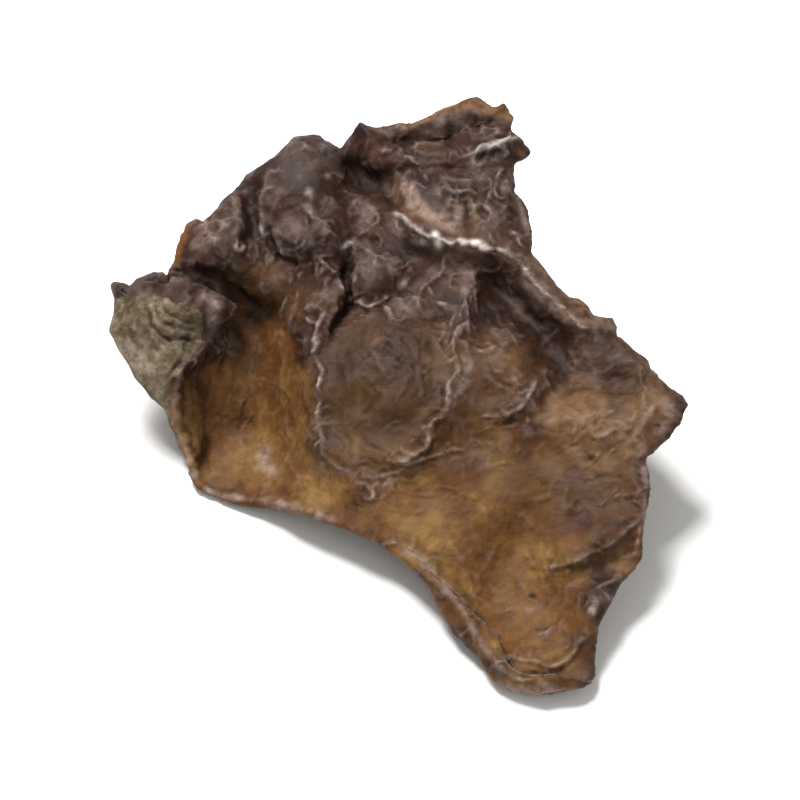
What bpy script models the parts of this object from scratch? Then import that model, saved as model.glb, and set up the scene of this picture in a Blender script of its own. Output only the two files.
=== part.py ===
"""A dried wood ear mushroom: one thin leathery ear, crumpled and curled as it dried.

The ear is drawn as it is seen from its front, 45 degrees above the table. In that drawing u runs
across, v runs up and w stands out of the drawing, towards the eye, all in millimetres at the
ear's own size. Its body is a relief over the drawing: a sloping sheet with lumps, folds and
steps. The parts that turn out of sight are flaps: they are laid out flat beyond a fold line, and
the sheet is rolled round that line. The sheet is then given its thickness and stood on the table.
"""

import math
from typing import NamedTuple

import bmesh
import bpy
import numpy as np
from mathutils import noise
from mathutils.geometry import delaunay_2d_cdt

MM = 0.001

# How the drawing stands in the world: the eye looks down at 45 degrees from 375 mm away.
EYE_ANGLE = math.radians(45)
EYE_DISTANCE = 375.0
RIGHT = np.array([1.0, 0.0, 0.0])
UP = np.array([0.0, math.sin(EYE_ANGLE), math.cos(EYE_ANGLE)])
TO_EYE = np.array([0.0, -math.cos(EYE_ANGLE), math.sin(EYE_ANGLE)])
DOWN = np.array([0.0, -math.cos(EYE_ANGLE), -math.sin(EYE_ANGLE)])  # in the drawing's u, v, w

# The sheet as a whole.
SPACING = 0.7             # between neighbouring points of the sheet
MARGIN_CLEARANCE = 0.62   # of SPACING, kept free inside the margin
PATH_STEP = 0.8           # between points laid along a line of the drawing
FOLD_FADE = 0.12          # share of a fold's length over which it fades at either end
FOLD_END = 0.35           # share of its height that is left at the very end
SHEET_THICKNESS = 1.35
MARGIN_THICKNESS = 0.95   # the sheet thins over its last few millimetres
MARGIN_WIDTH = 3.0
BASE_THICKNESS = 2.6      # where the ear gathers into its torn base
BASE_PLACE = (6.0, 20.0)
BASE_REACH = 5.0
SLOPE_ACROSS = 0.10       # rise of w for each millimetre of u
SLOPE_UP = -0.50          # and of v: the sheet leans 18 degrees off the table
SHEET_SMOOTHING = 3
SLOPE_PROBE = 1.2         # over which the sheet's slope is taken where it starts to turn
STEEPEST_START = 0.7      # the steepest slope that a turn starts with
FALL_RUN = 2.5            # how soon a hanging flap turns straight down
PLEAT_START = 4.0         # how far beyond the fold line a flap stays smooth
PLEAT_RUN = 10.0
PLEAT_SIZE = 4.5
TUCK_WIDTH = 4.2          # strip along a hanging flap's margin that curls in under it
TUCK_RADIUS = 1.7
TUCK_START = 3.0          # how far beyond the fold line the curl begins; full at twice that
SWELL_RISE = 0.28         # the uneven swell of the whole sheet
SWELL_SIZE = 4.2
NOISE_GAIN = 2.0          # brings the noise to about -1 to 1
NORMAL_SMOOTHING = 10
UNDERSIDE_SMOOTHING = 8

# The table, measured from the middle of the drawing, and how the finished skin is made.
TABLE_LEVEL = -8.7
MARGIN_SINK = 0.15        # how far a margin settles into the table, for rounding takes it off again
FOOT_PRESS = 0.55         # how far the lowest parts are flattened
VOXEL = 0.36
SKIN_SMOOTHING = 4
SKIN_TRIANGLES = 9700


class Lump(NamedTuple):
    """A smooth hill, or with a negative rise a hollow."""

    at: tuple
    radii: tuple
    rise: float
    turn_deg: float = 0.0


class Fold(NamedTuple):
    """A crest along a line, or with a negative rise a groove."""

    path: tuple
    width: float
    rise: float


class Roll(NamedTuple):
    """A flap that turns round a fold line and lies on the left of the line's run."""

    path: tuple
    radii: tuple          # of the turn at the start and at the end of the line
    turn_deg: float       # positive turns towards the eye, negative turns away
    reach: float          # how far beyond the line the flap can go
    ends: tuple = (0.1, 0.1)  # shares of the line over which the turn sets in and fades out
    pleats: float = 0.0   # how far the flap swings to and fro at PLEAT_RUN beyond the line
    hem: tuple = ()       # of a hanging flap: shares of the line, and the flap's length there

    @property
    def hangs(self):
        """Whether the flap turns straight down once it is round the bend."""
        return bool(self.hem)


LUMPS = (
    # The back of the ear on the left, the lobe beside it and the hollow next to the base.
    Lump((-9.0, 18.5), (5.0, 5.5), 3.6),
    Lump((-16.2, 13.4), (3.6, 2.8), 2.6),
    Lump((-3.8, 20.0), (2.4, 2.2), -3.4),
    # The front left corner hangs to the table.
    Lump((-16.5, -5.0), (8.0, 8.5), -6.5),
    # The knot under the crest and the two cushions between the veins.
    Lump((-2.4, 11.2), (2.0, 2.3), 2.4),
    Lump((-1.2, 1.6), (5.4, 6.0), 3.4),
    Lump((8.6, 2.2), (3.8, 3.6), 2.2),
    # The knobs of the base.
    Lump((2.4, 18.2), (1.6, 1.9), 1.8),
    Lump((5.4, 18.3), (1.9, 1.9), 1.3),
    Lump((9.4, 18.2), (1.7, 2.6), 2.0),
    # The right wing, the pocket in the right margin and the spoon of the front lobe.
    Lump((18.5, -2.2), (5.0, 2.6), 1.8),
    Lump((18.8, -14.2), (2.8, 1.3), -2.2, 35.0),
    Lump((10.2, -17.0), (4.6, 6.5), -2.6, -12.0),
)

FOLDS = (
    # The amber channel down the left.
    Fold(((-13.8, 9.5), (-12.8, 5.0), (-12.3, 0.0), (-13.5, -5.0)), 3.2, -3.0),
    # The edge of the upper lobe over the channel, and the creases of the upper lobe.
    Fold(((-16.0, 10.6), (-13.6, 9.2), (-11.2, 8.5)), 1.1, -2.0),
    Fold(((-17.5, 12.9), (-15.0, 12.2), (-12.6, 10.6), (-10.4, 9.6)), 1.1, 1.4),
    Fold(((-14.8, 18.6), (-14.4, 16.0), (-14.2, 13.6)), 0.8, 0.8),
    Fold(((-13.2, 19.8), (-12.8, 17.6), (-13.3, 15.6), (-13.2, 14.0)), 0.8, -1.2),
    Fold(((-12.0, 17.4), (-11.8, 15.0), (-11.0, 13.6), (-9.6, 12.9), (-8.2, 13.6)), 0.8, -1.4),
    # The scarp beside the channel, which is the main vein.
    Fold(((-11.4, 16.4), (-10.9, 14.7), (-9.2, 14.0), (-7.6, 13.0), (-6.2, 11.6), (-5.9, 9.5),
          (-6.9, 7.2), (-7.6, 5.0), (-7.3, 2.0), (-7.4, -1.0), (-7.0, -3.5), (-5.4, -6.2),
          (-3.2, -7.8)), 1.1, 1.9),
    # The narrow slot between the vein and the knot, and the bent crease below the knot.
    Fold(((-4.6, 13.6), (-4.8, 11.0), (-4.7, 8.6), (-5.4, 6.6)), 0.9, -3.0),
    Fold(((-4.2, 8.0), (-2.4, 7.8), (-0.6, 8.9), (1.0, 9.0)), 0.9, -1.5),
    # The high pale crest at the back, and the shaded valley in front of it.
    Fold(((0.3, 16.0), (3.3, 14.8), (7.0, 14.0), (10.0, 12.6), (12.0, 10.4), (14.0, 8.2),
          (16.0, 6.2)), 1.5, 2.4),
    Fold(((6.5, 10.8), (10.6, 8.4), (13.0, 5.6), (14.4, 2.6)), 2.2, -2.6),
    # The veins that frame the two cushions.
    Fold(((5.6, 12.0), (5.9, 9.0), (5.2, 5.6), (5.0, 2.6), (4.3, -0.6), (2.6, -3.2),
          (0.8, -5.0), (-1.5, -5.4), (-5.0, -5.0)), 0.9, 1.3),
    Fold(((12.4, 2.2), (11.8, 0.4), (10.2, -1.0), (8.0, -1.3), (6.0, -2.6)), 0.9, 1.0),
    # The gathered base: its upper edge, the pocket inside it, and the torn lip below.
    Fold(((-3.5, 24.4), (1.0, 24.3), (5.0, 25.8), (9.0, 25.6)), 1.0, 2.2),
    Fold(((-0.5, 22.9), (3.0, 22.8), (8.4, 24.4)), 1.0, -3.4),
    Fold(((-3.0, 22.0), (1.0, 21.3), (5.0, 21.6), (9.8, 22.9)), 0.9, 1.8),
    Fold(((0.0, 20.3), (3.5, 20.0), (7.0, 20.4)), 0.9, -1.6),
    Fold(((-0.6, 19.2), (0.0, 17.4), (1.6, 16.2)), 0.8, -1.6),
    Fold(((7.2, 20.4), (7.5, 17.8), (6.8, 15.8)), 0.8, -1.2),
    # The right margin and the fold across the neck of the front lobe.
    Fold(((14.0, 0.8), (18.0, 1.2), (22.0, 0.8)), 1.1, -1.4),
    Fold(((21.6, -5.0), (21.8, -9.0), (21.2, -12.0)), 1.2, 1.5),
    Fold(((20.3, -11.0), (17.5, -13.2), (13.6, -15.4)), 1.0, 1.9),
    Fold(((17.9, -16.8), (17.1, -19.0), (16.8, -22.0)), 0.9, 1.3),
    # The double wrinkle near the tip of the lobe.
    Fold(((8.8, -23.0), (12.6, -24.0), (15.6, -21.8)), 0.9, 1.0),
)

# Bumps and grooves of the flap that curls up on the left, laid out flat, seen on its outer side.
OUTER_LUMPS = (
    Lump((-37.6, 7.2), (1.5, 2.6), 1.6),
    Lump((-33.0, 3.0), (2.5, 2.5), 0.8),
)
OUTER_FOLDS = (
    Fold(((-32.4, 9.2), (-34.8, 8.2), (-37.4, 8.4)), 0.6, 0.8),
    Fold(((-32.4, 7.4), (-34.6, 6.6), (-37.0, 6.8)), 0.6, 0.8),
    Fold(((-32.8, 5.4), (-35.2, 5.3), (-37.6, 5.6)), 0.6, -1.2),
    Fold(((-30.4, 1.0), (-32.2, 2.2), (-34.4, 3.4)), 0.6, -0.9),
)

LAPEL = Roll(((-17.2, -7.8), (-18.3, -6.0), (-19.4, -2.0), (-21.4, 1.0), (-22.9, 4.0),
              (-23.6, 6.6), (-23.6, 11.5)), (0.7, 2.1), 200.0, 24.0, (0.12, 0.001))
LOBE_RIM = Roll(((16.4, -24.4), (14.8, -25.4), (12.6, -25.9), (9.6, -25.2), (6.6, -21.8),
                 (3.4, -17.6), (1.2, -14.4), (0.0, -12.8)), (0.9, 0.9), 150.0, 6.0, (0.1, 0.16))
BACK_LEFT = Roll(((-15.6, 14.6), (-13.6, 17.0), (-11.5, 19.6), (-9.3, 21.4), (-7.0, 22.0),
                  (-5.1, 21.7)), (1.2, 2.2), -100.0, 34.0, (0.08, 0.08), 2.4,
                 ((0.94, 3.0), (0.93, 8.0), (0.91, 13.4), (0.84, 17.8), (0.72, 20.6),
                  (0.60, 20.2), (0.50, 17.4), (0.40, 16.6), (0.28, 16.4), (0.19, 13.0),
                  (0.13, 8.4), (0.10, 3.6)))
BACK_RIGHT = Roll(((9.0, 12.4), (12.8, 8.3), (17.3, 4.6), (22.2, 0.9)), (1.1, 1.1), -112.0,
                  32.0, (0.08, 0.1), 2.6,
                  ((0.92, 3.4), (0.89, 7.4), (0.82, 11.4), (0.72, 13.8), (0.62, 14.2),
                   (0.53, 12.4), (0.44, 12.8), (0.34, 14.8), (0.24, 14.2), (0.16, 10.6),
                   (0.11, 5.6), (0.07, 2.4)))
ROLLS = (LAPEL, LOBE_RIM, BACK_LEFT, BACK_RIGHT)

# The ear's margin, laid out flat, clockwise from the end of the slit above the lapel. The flaps
# that hang at the back are added to it by their hems.
MARGIN_FRONT = (
    (-15.0, 10.8), (-19.5, 11.0), (-24.0, 11.1), (-30.0, 10.8), (-35.6, 10.6), (-38.2, 10.0),
    (-39.1, 8.0), (-39.0, 5.4), (-38.0, 2.6), (-35.8, 0.0), (-32.6, -2.0), (-27.8, -3.4),
    (-23.4, -4.6),
    (-21.0, -6.4), (-19.2, -8.1), (-17.4, -8.6), (-16.0, -9.2), (-14.0, -9.6), (-10.0, -10.2),
    (-6.0, -11.4), (-3.0, -12.6), (-1.2, -13.2), (-0.8, -14.6), (-0.2, -17.6), (2.6, -22.8),
    (6.2, -28.2), (12.4, -29.4), (16.8, -28.0), (17.6, -25.0), (17.7, -21.8), (18.3, -19.3),
    (19.8, -16.9), (21.5, -14.4), (21.9, -12.0), (22.1, -10.0), (22.4, -7.6), (22.2, -5.2),
    (24.0, -3.7), (25.3, -2.0), (26.1, -0.4), (24.9, 0.8), (23.3, 2.3),
)
MARGIN_BASE = (
    (11.5, 15.2), (11.1, 16.8), (10.7, 18.2), (10.3, 19.6), (10.4, 21.0),
    (11.6, 22.1), (10.8, 23.4), (10.3, 25.2), (9.1, 26.5), (6.8, 27.0), (4.0, 26.0), (1.0, 24.7),
    (-1.0, 24.5), (-3.7, 24.9), (-4.9, 22.5),
)
MARGIN_LOBE = (
    (-16.7, 16.6), (-17.8, 16.1), (-19.1, 15.6), (-19.9, 14.0), (-20.4, 12.0), (-19.2, 11.3),
    (-15.0, 11.1),
)


def smooth_path(points, step, closed=False):
    """Points at about the given step along a smooth curve through these (Catmull-Rom)."""
    p = np.array(points, float)
    count = len(p)
    if closed:
        knots = np.vstack([p[-1], p, p[0], p[1]])
        spans = count
    else:
        knots = np.vstack([2 * p[0] - p[1], p, 2 * p[-1] - p[-2]])
        spans = count - 1
    out = []
    for i in range(spans):
        a, b, c, d = knots[i], knots[i + 1], knots[i + 2], knots[i + 3]
        parts = max(2, round(float(np.linalg.norm(c - b)) / step))
        for t in np.arange(parts) / parts:
            out.append(0.5 * (2 * b + (c - a) * t + (2 * a - 5 * b + 4 * c - d) * t**2
                              + (3 * b - a - 3 * c + d) * t**3))
    if not closed:
        out.append(p[-1])
    return np.array(out)


def hem_of(roll):
    """The margin of a hanging flap, laid out flat beyond its fold line."""
    line = smooth_path(roll.path, PATH_STEP)
    steps = np.linalg.norm(np.diff(line, axis=0), axis=1)
    shares = np.concatenate([[0.0], np.cumsum(steps)]) / steps.sum()
    run = np.gradient(line, axis=0)
    run /= np.linalg.norm(run, axis=1)[:, None]
    corners = []
    for share, length in roll.hem:
        foot = np.array([np.interp(share, shares, line[:, i]) for i in (0, 1)])
        along = np.array([np.interp(share, shares, run[:, i]) for i in (0, 1)])
        corners.append(tuple(foot + length * np.array([-along[1], along[0]])))
    return tuple(corners)


def whole_margin():
    """Points close together along the whole margin, laid out flat."""
    corners = MARGIN_FRONT + hem_of(BACK_RIGHT) + MARGIN_BASE + hem_of(BACK_LEFT) + MARGIN_LOBE
    return smooth_path(corners, SPACING, closed=True)


def nearest_on(line, places):
    """For each place: its distance to the line, the share of the line's length there, the
    nearest point, and the line's direction there."""
    a, b = line[:-1], line[1:]
    run = b - a
    lengths = np.linalg.norm(run, axis=1)
    start = np.concatenate([[0.0], np.cumsum(lengths)[:-1]])
    rel = places[:, None, :] - a[None, :, :]
    t = np.clip((rel * run).sum(2) / (lengths**2), 0, 1)
    foot = a + t[..., None] * run
    gap = np.linalg.norm(places[:, None, :] - foot, axis=2)
    best = gap.argmin(axis=1)
    rows = np.arange(len(places))
    share = (start[best] + t[rows, best] * lengths[best]) / lengths.sum()
    return gap[rows, best], share, foot[rows, best], (run / lengths[:, None])[best]


def smoothstep(x):
    """0 below 0, 1 above 1, and smooth between."""
    x = np.clip(x, 0, 1)
    return x * x * (3 - 2 * x)


def lump_height(lump, places):
    """Height of one lump at flat places."""
    turn = math.radians(lump.turn_deg)
    rel = places - np.array(lump.at)
    along = rel[:, 0] * math.cos(turn) + rel[:, 1] * math.sin(turn)
    across = -rel[:, 0] * math.sin(turn) + rel[:, 1] * math.cos(turn)
    return lump.rise * np.exp(-((along / lump.radii[0]) ** 2) - (across / lump.radii[1]) ** 2)


def fold_height(fold, places):
    """Height of one fold at flat places, lower at its ends."""
    gap, share, _, _ = nearest_on(smooth_path(fold.path, PATH_STEP), places)
    ends = smoothstep(share / FOLD_FADE) * smoothstep((1 - share) / FOLD_FADE)
    strength = FOLD_END + (1 - FOLD_END) * ends
    return fold.rise * strength * np.exp(-((gap / fold.width) ** 2))


def relief(places):
    """How far the sheet stands out of the drawing at these places."""
    height = SLOPE_ACROSS * places[:, 0] + SLOPE_UP * places[:, 1]
    for lump in LUMPS:
        height = height + lump_height(lump, places)
    for fold in FOLDS:
        height = height + fold_height(fold, places)
    return height


def uneven(places):
    """A smooth random field over flat places, about -1 to 1, the same each time."""
    return np.array([noise.noise((u, v, 0.0)) for u, v in places]) * NOISE_GAIN


def swell(places):
    """How far the sheet stands out of its own face, on its inner side, at these flat places."""
    height = SWELL_RISE * uneven(places / SWELL_SIZE)
    for lump in OUTER_LUMPS:
        height -= lump_height(lump, places)
    for fold in OUTER_FOLDS:
        height -= fold_height(fold, places)
    return height


def tucked(margin, places, out, run, side, length):
    """How far the strip along a hanging flap's margin moves as it curls in under the flap."""
    gap, _, foot, _ = nearest_on(margin, places)
    inward = (places - foot) / np.maximum(gap, 1e-6)[:, None]
    set_in = smoothstep(length / TUCK_START - 1)
    strip = np.maximum(TUCK_WIDTH - gap, 0) * set_in
    angle = strip / TUCK_RADIUS
    drawn_in = strip - TUCK_RADIUS * np.sin(angle)
    depth = TUCK_RADIUS * (1 - np.cos(angle))
    along = np.column_stack([run, np.zeros(len(run))])
    lift = ((inward * out).sum(1) * drawn_in)[:, None] * DOWN
    shift = ((inward * run).sum(1) * drawn_in)[:, None] * along
    return lift + shift - side * depth[:, None]


def rolled(roll, places, points):
    """Turns the points of the sheet that lie beyond the roll's fold line round that line."""
    gap, share, foot, run = nearest_on(smooth_path(roll.path, PATH_STEP), places)
    outward = np.stack([-run[:, 1], run[:, 0]], axis=1)
    beyond = ((places - foot) * outward).sum(1)
    turned = (beyond > 0) & (gap < roll.reach)
    out, foot, share, run = outward[turned], foot[turned], share[turned], run[turned]
    beyond_line = places[turned]
    strength = smoothstep(share / roll.ends[0]) * smoothstep((1 - share) / roll.ends[1])
    here = relief(foot)
    slope = (here - relief(foot - SLOPE_PROBE * out)) / SLOPE_PROBE
    slope = np.clip(slope, -STEEPEST_START, STEEPEST_START)
    away = np.column_stack([out, slope])
    away /= np.linalg.norm(away, axis=1)[:, None]
    along = np.column_stack([run, np.zeros(len(run))])
    normal = np.cross(away, along)
    normal *= np.sign(normal[:, 2])[:, None]
    radius = roll.radii[0] + (roll.radii[1] - roll.radii[0]) * share
    most = np.radians(abs(roll.turn_deg)) * strength
    length = gap[turned]
    bend = most / (np.radians(abs(roll.turn_deg)) * radius)
    angle = np.minimum(length * bend, most)
    bend = np.maximum(bend, 1e-6)
    rest = length - angle / bend
    fall = rest**2 / (rest + FALL_RUN) if roll.hangs else np.zeros(len(rest))
    rest = rest - fall
    forward = np.sin(angle) / bend + rest * np.cos(angle)
    rise = (1 - np.cos(angle)) / bend + rest * np.sin(angle)
    rise *= math.copysign(1, roll.turn_deg)
    set_in = smoothstep((length - PLEAT_START) / PLEAT_RUN)
    swing = uneven(foot / PLEAT_SIZE) * roll.pleats * set_in * length / PLEAT_RUN
    side = normal * np.cos(angle)[:, None] - away * np.sin(angle)[:, None] * math.copysign(
        1, roll.turn_deg)
    start = np.column_stack([foot, here])
    bent = start + away * forward[:, None] + normal * rise[:, None] + side * swing[:, None]
    bent += DOWN * fall[:, None]
    if roll.hangs:
        margin = whole_margin()
        loop = np.vstack([margin, margin[:1]])
        bent += tucked(loop, beyond_line, out, run, side, length)
    points[turned] += (bent - points[turned]) * strength[:, None]
    return points


def flat_sheet():
    """The sheet laid out flat: its points, its triangles and how many of the points are margin."""
    margin = whole_margin()
    low, high = margin.min(0), margin.max(0)
    row_height = SPACING * math.sqrt(3) / 2
    grid = []
    for row, v in enumerate(np.arange(low[1], high[1], row_height)):
        shift = 0.5 * SPACING * (row % 2)
        grid += [(u + shift, v) for u in np.arange(low[0], high[0], SPACING)]
    grid = np.array(grid)
    loop = np.vstack([margin, margin[:1]])
    gap = nearest_on(loop, grid)[0]
    inside = inside_loop(margin, grid) & (gap > MARGIN_CLEARANCE * SPACING)
    points = np.vstack([margin, grid[inside]])
    count = len(margin)
    rim = [(i, (i + 1) % count) for i in range(count)]
    verts, _, faces, *_ = delaunay_2d_cdt([tuple(p) for p in points], rim, [], 1, 1e-6)
    assert len(verts) == len(points)
    return np.array([tuple(v) for v in verts]), np.array(faces), count


def inside_loop(loop, places):
    """True where a place is inside the closed loop, by counting the crossings of a level ray."""
    a, b = loop, np.roll(loop, -1, axis=0)
    inside = np.zeros(len(places), bool)
    for (ax, ay), (bx, by) in zip(a, b):
        if ay == by:
            continue
        spans = (ay > places[:, 1]) != (by > places[:, 1])
        cross = ax + (places[:, 1] - ay) * (bx - ax) / (by - ay)
        inside ^= spans & (places[:, 0] < cross)
    return inside


def smoothed(values, edges, rounds, margin_count):
    """Evens the values out; those of the margin only follow their neighbours in the margin."""
    number = np.zeros(len(values))
    np.add.at(number, edges.ravel(), 1)
    for _ in range(rounds):
        mean = np.zeros_like(values)
        np.add.at(mean, edges[:, 0], values[edges[:, 1]])
        np.add.at(mean, edges[:, 1], values[edges[:, 0]])
        mean /= number[:, None]
        margin = values[:margin_count]
        mean[:margin_count] = (np.roll(margin, 1, axis=0) + np.roll(margin, -1, axis=0)) / 2
        values = (values + mean) / 2
    return values


def vertex_normals(points, faces):
    """Directions square to the sheet at its points."""
    a, b, c = (points[faces[:, i]] for i in range(3))
    face_normals = np.cross(b - a, c - a)
    normals = np.zeros_like(points)
    for i in range(3):
        np.add.at(normals, faces[:, i], face_normals)
    return normals / np.linalg.norm(normals, axis=1)[:, None]


def edges_of(faces):
    """Every edge of the triangles once, as pairs of points."""
    pairs = np.vstack([faces[:, [0, 1]], faces[:, [1, 2]], faces[:, [2, 0]]])
    return np.unique(np.sort(pairs, axis=1), axis=0)


def to_world(points):
    """From drawing coordinates to the world, in millimetres, seen in perspective from the eye."""
    shrink = 1 - points[:, 2:] / EYE_DISTANCE
    return points[:, :1] * shrink * RIGHT + points[:, 1:2] * shrink * UP + points[:, 2:] * TO_EYE


def half_thickness(places):
    """Half the sheet's thickness at flat places: thin at the margin, thick at the base."""
    margin = whole_margin()
    gap = nearest_on(np.vstack([margin, margin[:1]]), places)[0]
    thick = MARGIN_THICKNESS + (SHEET_THICKNESS - MARGIN_THICKNESS) * smoothstep(gap / MARGIN_WIDTH)
    to_base = np.linalg.norm(places - np.array(BASE_PLACE), axis=1) / BASE_REACH
    extra = (BASE_THICKNESS - SHEET_THICKNESS) * np.exp(-(to_base**2))
    return (thick + extra * smoothstep(gap / MARGIN_WIDTH)) / 2


def settled(points, half):
    """Points that would pass below the table lie along it instead, further out."""
    floor = TABLE_LEVEL + half
    under = np.maximum(floor - points[:, 2], 0.0)
    outward = points[:, :2] - points[:, :2].mean(0)
    outward /= np.maximum(np.linalg.norm(outward, axis=1), 1e-6)[:, None]
    points[:, :2] += outward * under[:, None]
    points[:, 2] += under
    return points


def build_ear():
    """Lays out, shapes, thickens and stands the ear, and returns its object."""
    places, faces, margin_count = flat_sheet()
    points = np.column_stack([places, relief(places)])
    for roll in ROLLS:
        points = rolled(roll, places, points)
    edges = edges_of(faces)
    points = smoothed(points, edges, SHEET_SMOOTHING, margin_count)
    points += vertex_normals(points, faces) * swell(places)[:, None]
    half = half_thickness(places)
    middle = settled(to_world(points), half - MARGIN_SINK)
    normals = smoothed(vertex_normals(middle, faces), edges, NORMAL_SMOOTHING, margin_count)
    normals /= np.linalg.norm(normals, axis=1)[:, None]
    upper = middle + normals * half[:, None]
    lower = smoothed(middle, edges, UNDERSIDE_SMOOTHING, margin_count) - normals * half[:, None]
    corners = np.vstack([upper, lower])
    count = len(places)
    solid = [tuple(f) for f in faces] + [tuple(count + i for i in f[::-1]) for f in faces]
    for a, b in rim_edges(faces):
        solid.append((b, a, count + a))
        solid.append((b, count + a, count + b))
    mesh = bpy.data.meshes.new("wood_ear")
    mesh.from_pydata([tuple(c * MM) for c in corners], [], [tuple(map(int, f)) for f in solid])
    ear = bpy.data.objects.new("wood_ear", mesh)
    bpy.context.scene.collection.objects.link(ear)
    skin(ear)
    keep_largest_piece(ear)
    stand(ear)
    ear.data.materials.append(dried_ear_material())
    ear.data.shade_smooth()
    return ear


def apply_modifier(ear, kind, **settings):
    """Adds a modifier with these settings and applies it."""
    modifier = ear.modifiers.new(kind.lower(), kind)
    for name, value in settings.items():
        setattr(modifier, name, value)
    bpy.ops.object.select_all(action="DESELECT")
    bpy.context.view_layer.objects.active = ear
    ear.select_set(True)
    bpy.ops.object.modifier_apply(modifier=modifier.name)


def skin(ear):
    """Fuses folds that touch and turns the raw sheet into one even skin of triangles."""
    apply_modifier(ear, "REMESH", mode="VOXEL", voxel_size=VOXEL * MM, adaptivity=0.0)
    apply_modifier(ear, "SMOOTH", factor=0.5, iterations=SKIN_SMOOTHING)
    keep_largest_piece(ear)
    apply_modifier(ear, "TRIANGULATE")
    ratio = SKIN_TRIANGLES / len(ear.data.polygons)
    apply_modifier(ear, "DECIMATE", decimate_type="COLLAPSE", ratio=ratio)


def keep_largest_piece(ear):
    """Drops specks and closed bubbles, so that one outer skin is left."""
    mesh = bmesh.new()
    mesh.from_mesh(ear.data)
    left = set(mesh.verts)
    pieces = []
    while left:
        piece, front = set(), [left.pop()]
        while front:
            vert = front.pop()
            piece.add(vert)
            for edge in vert.link_edges:
                other = edge.other_vert(vert)
                if other in left:
                    left.remove(other)
                    front.append(other)
        pieces.append(piece)
    pieces.sort(key=len, reverse=True)
    for piece in pieces[1:]:
        bmesh.ops.delete(mesh, geom=list(piece), context="VERTS")
    mesh.to_mesh(ear.data)
    mesh.free()


def stand(ear):
    """Puts the ear over the origin, on feet that are pressed flat."""
    corners = np.empty(len(ear.data.vertices) * 3)
    ear.data.vertices.foreach_get("co", corners)
    corners = corners.reshape(-1, 3)
    corners[:, 2] -= corners[:, 2].min() + FOOT_PRESS * MM
    corners[:, 2] = np.maximum(corners[:, 2], 0.0)
    corners[:, :2] -= (corners[:, :2].min(0) + corners[:, :2].max(0)) / 2
    ear.data.vertices.foreach_set("co", corners.ravel())
    ear.data.update()


def rim_edges(faces):
    """The edges that only one face uses, each in that face's own direction."""
    directed = np.vstack([faces[:, [0, 1]], faces[:, [1, 2]], faces[:, [2, 0]]])
    seen = {tuple(map(int, e)) for e in directed}
    return [e for e in seen if (e[1], e[0]) not in seen]


def dried_ear_material():
    """Dark purple-brown, half matt, like dried leather."""
    material = bpy.data.materials.new("dried_ear")
    material.use_nodes = True
    shader = material.node_tree.nodes["Principled BSDF"]
    shader.inputs["Base Color"].default_value = (0.12, 0.07, 0.045, 1)
    shader.inputs["Roughness"].default_value = 0.6
    shader.inputs["Metallic"].default_value = 0.0
    return material


def main():
    """Clears the scene and builds the ear."""
    for old in list(bpy.data.objects):
        bpy.data.objects.remove(old)
    build_ear()


main()
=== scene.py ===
"""Looks of a dried wood ear mushroom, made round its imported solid.

Veins, wrinkles and tints are placed on a drawing that lies square to the eye: u runs to
the right and v runs up, in millimetres from the point that the camera is aimed at. What is
drawn is carried along the eye's rays onto the skin that faces it.
"""

import logging
import math
from dataclasses import dataclass
from enum import Enum
from typing import NamedTuple, Optional, Sequence

import bpy
import numpy as np
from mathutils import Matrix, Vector, noise
from mathutils.bvhtree import BVHTree
from mathutils.kdtree import KDTree


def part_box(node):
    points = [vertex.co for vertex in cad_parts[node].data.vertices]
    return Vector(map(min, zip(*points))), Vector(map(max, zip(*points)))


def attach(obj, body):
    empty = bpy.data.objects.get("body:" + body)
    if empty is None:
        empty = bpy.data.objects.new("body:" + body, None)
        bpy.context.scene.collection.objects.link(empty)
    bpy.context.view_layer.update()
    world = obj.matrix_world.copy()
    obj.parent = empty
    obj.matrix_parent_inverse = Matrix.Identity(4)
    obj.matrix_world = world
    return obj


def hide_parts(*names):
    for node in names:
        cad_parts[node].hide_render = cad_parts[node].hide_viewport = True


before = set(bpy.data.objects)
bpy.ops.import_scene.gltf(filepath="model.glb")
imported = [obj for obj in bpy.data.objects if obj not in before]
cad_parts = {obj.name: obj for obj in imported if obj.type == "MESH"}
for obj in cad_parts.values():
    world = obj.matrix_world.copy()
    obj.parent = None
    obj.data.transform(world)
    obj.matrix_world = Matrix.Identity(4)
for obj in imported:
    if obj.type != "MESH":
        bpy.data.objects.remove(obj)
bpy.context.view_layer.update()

MM = 0.001
TINY = 1e-9
NODE = "wood_ear"
BODY = "root"

# Steps of a streak, of a side branch and of a short wrinkle
STREAK_POINTS, TWIG_STEPS, WISP_STEPS = 5, 3, 5

# Clearance of a ray's start from the skin, and its lead towards the eye, in mm
SKIN_GAP, RAY_LEAD = 0.1, 0.2

# How far towards the eye the skin is searched, in metres
RAY_LENGTH = 0.1

# How much a point has to face the eye to count as open: from hidden to open
FACING = (0.02, 0.2)

# Levels of the weights that thin out the hidden side
HIDDEN_LEVELS = 10

# How strongly a sharp margin parts the two sides, and how opposed two faces of the flesh are
SHARP_LOSS, OPPOSED = 30.0, -0.3

# How much of its pale dust and painted highlight fully clear flesh loses
DUST_AND_HIGHLIGHT_LOSS = 0.9

# Where along the crest its painted highlight sets in and fades, in mm
HIGHLIGHT_ENDS = ((2.6, 3.8), (7.4, 10.5))

# Rounds of smoothing, depth in mm, pale dust and painted highlight on what stands out, and painted
# shade in what lies deep
SHADINGS = ((6, 0.05, 0.16, 0.5), (60, 0.35, 0.0, 0.75))

# Places on a face, as shares of its three corners
FACE_SPOTS = ((1, 0, 0), (0, 1, 0), (0, 0, 1), (1 / 3, 1 / 3, 1 / 3), (0.5, 0.5, 0),
              (0, 0.5, 0.5), (0.5, 0, 0.5), (0.6, 0.2, 0.2), (0.2, 0.6, 0.2), (0.2, 0.2, 0.6))

log = logging.getLogger("dried_wood_ear")

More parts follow.
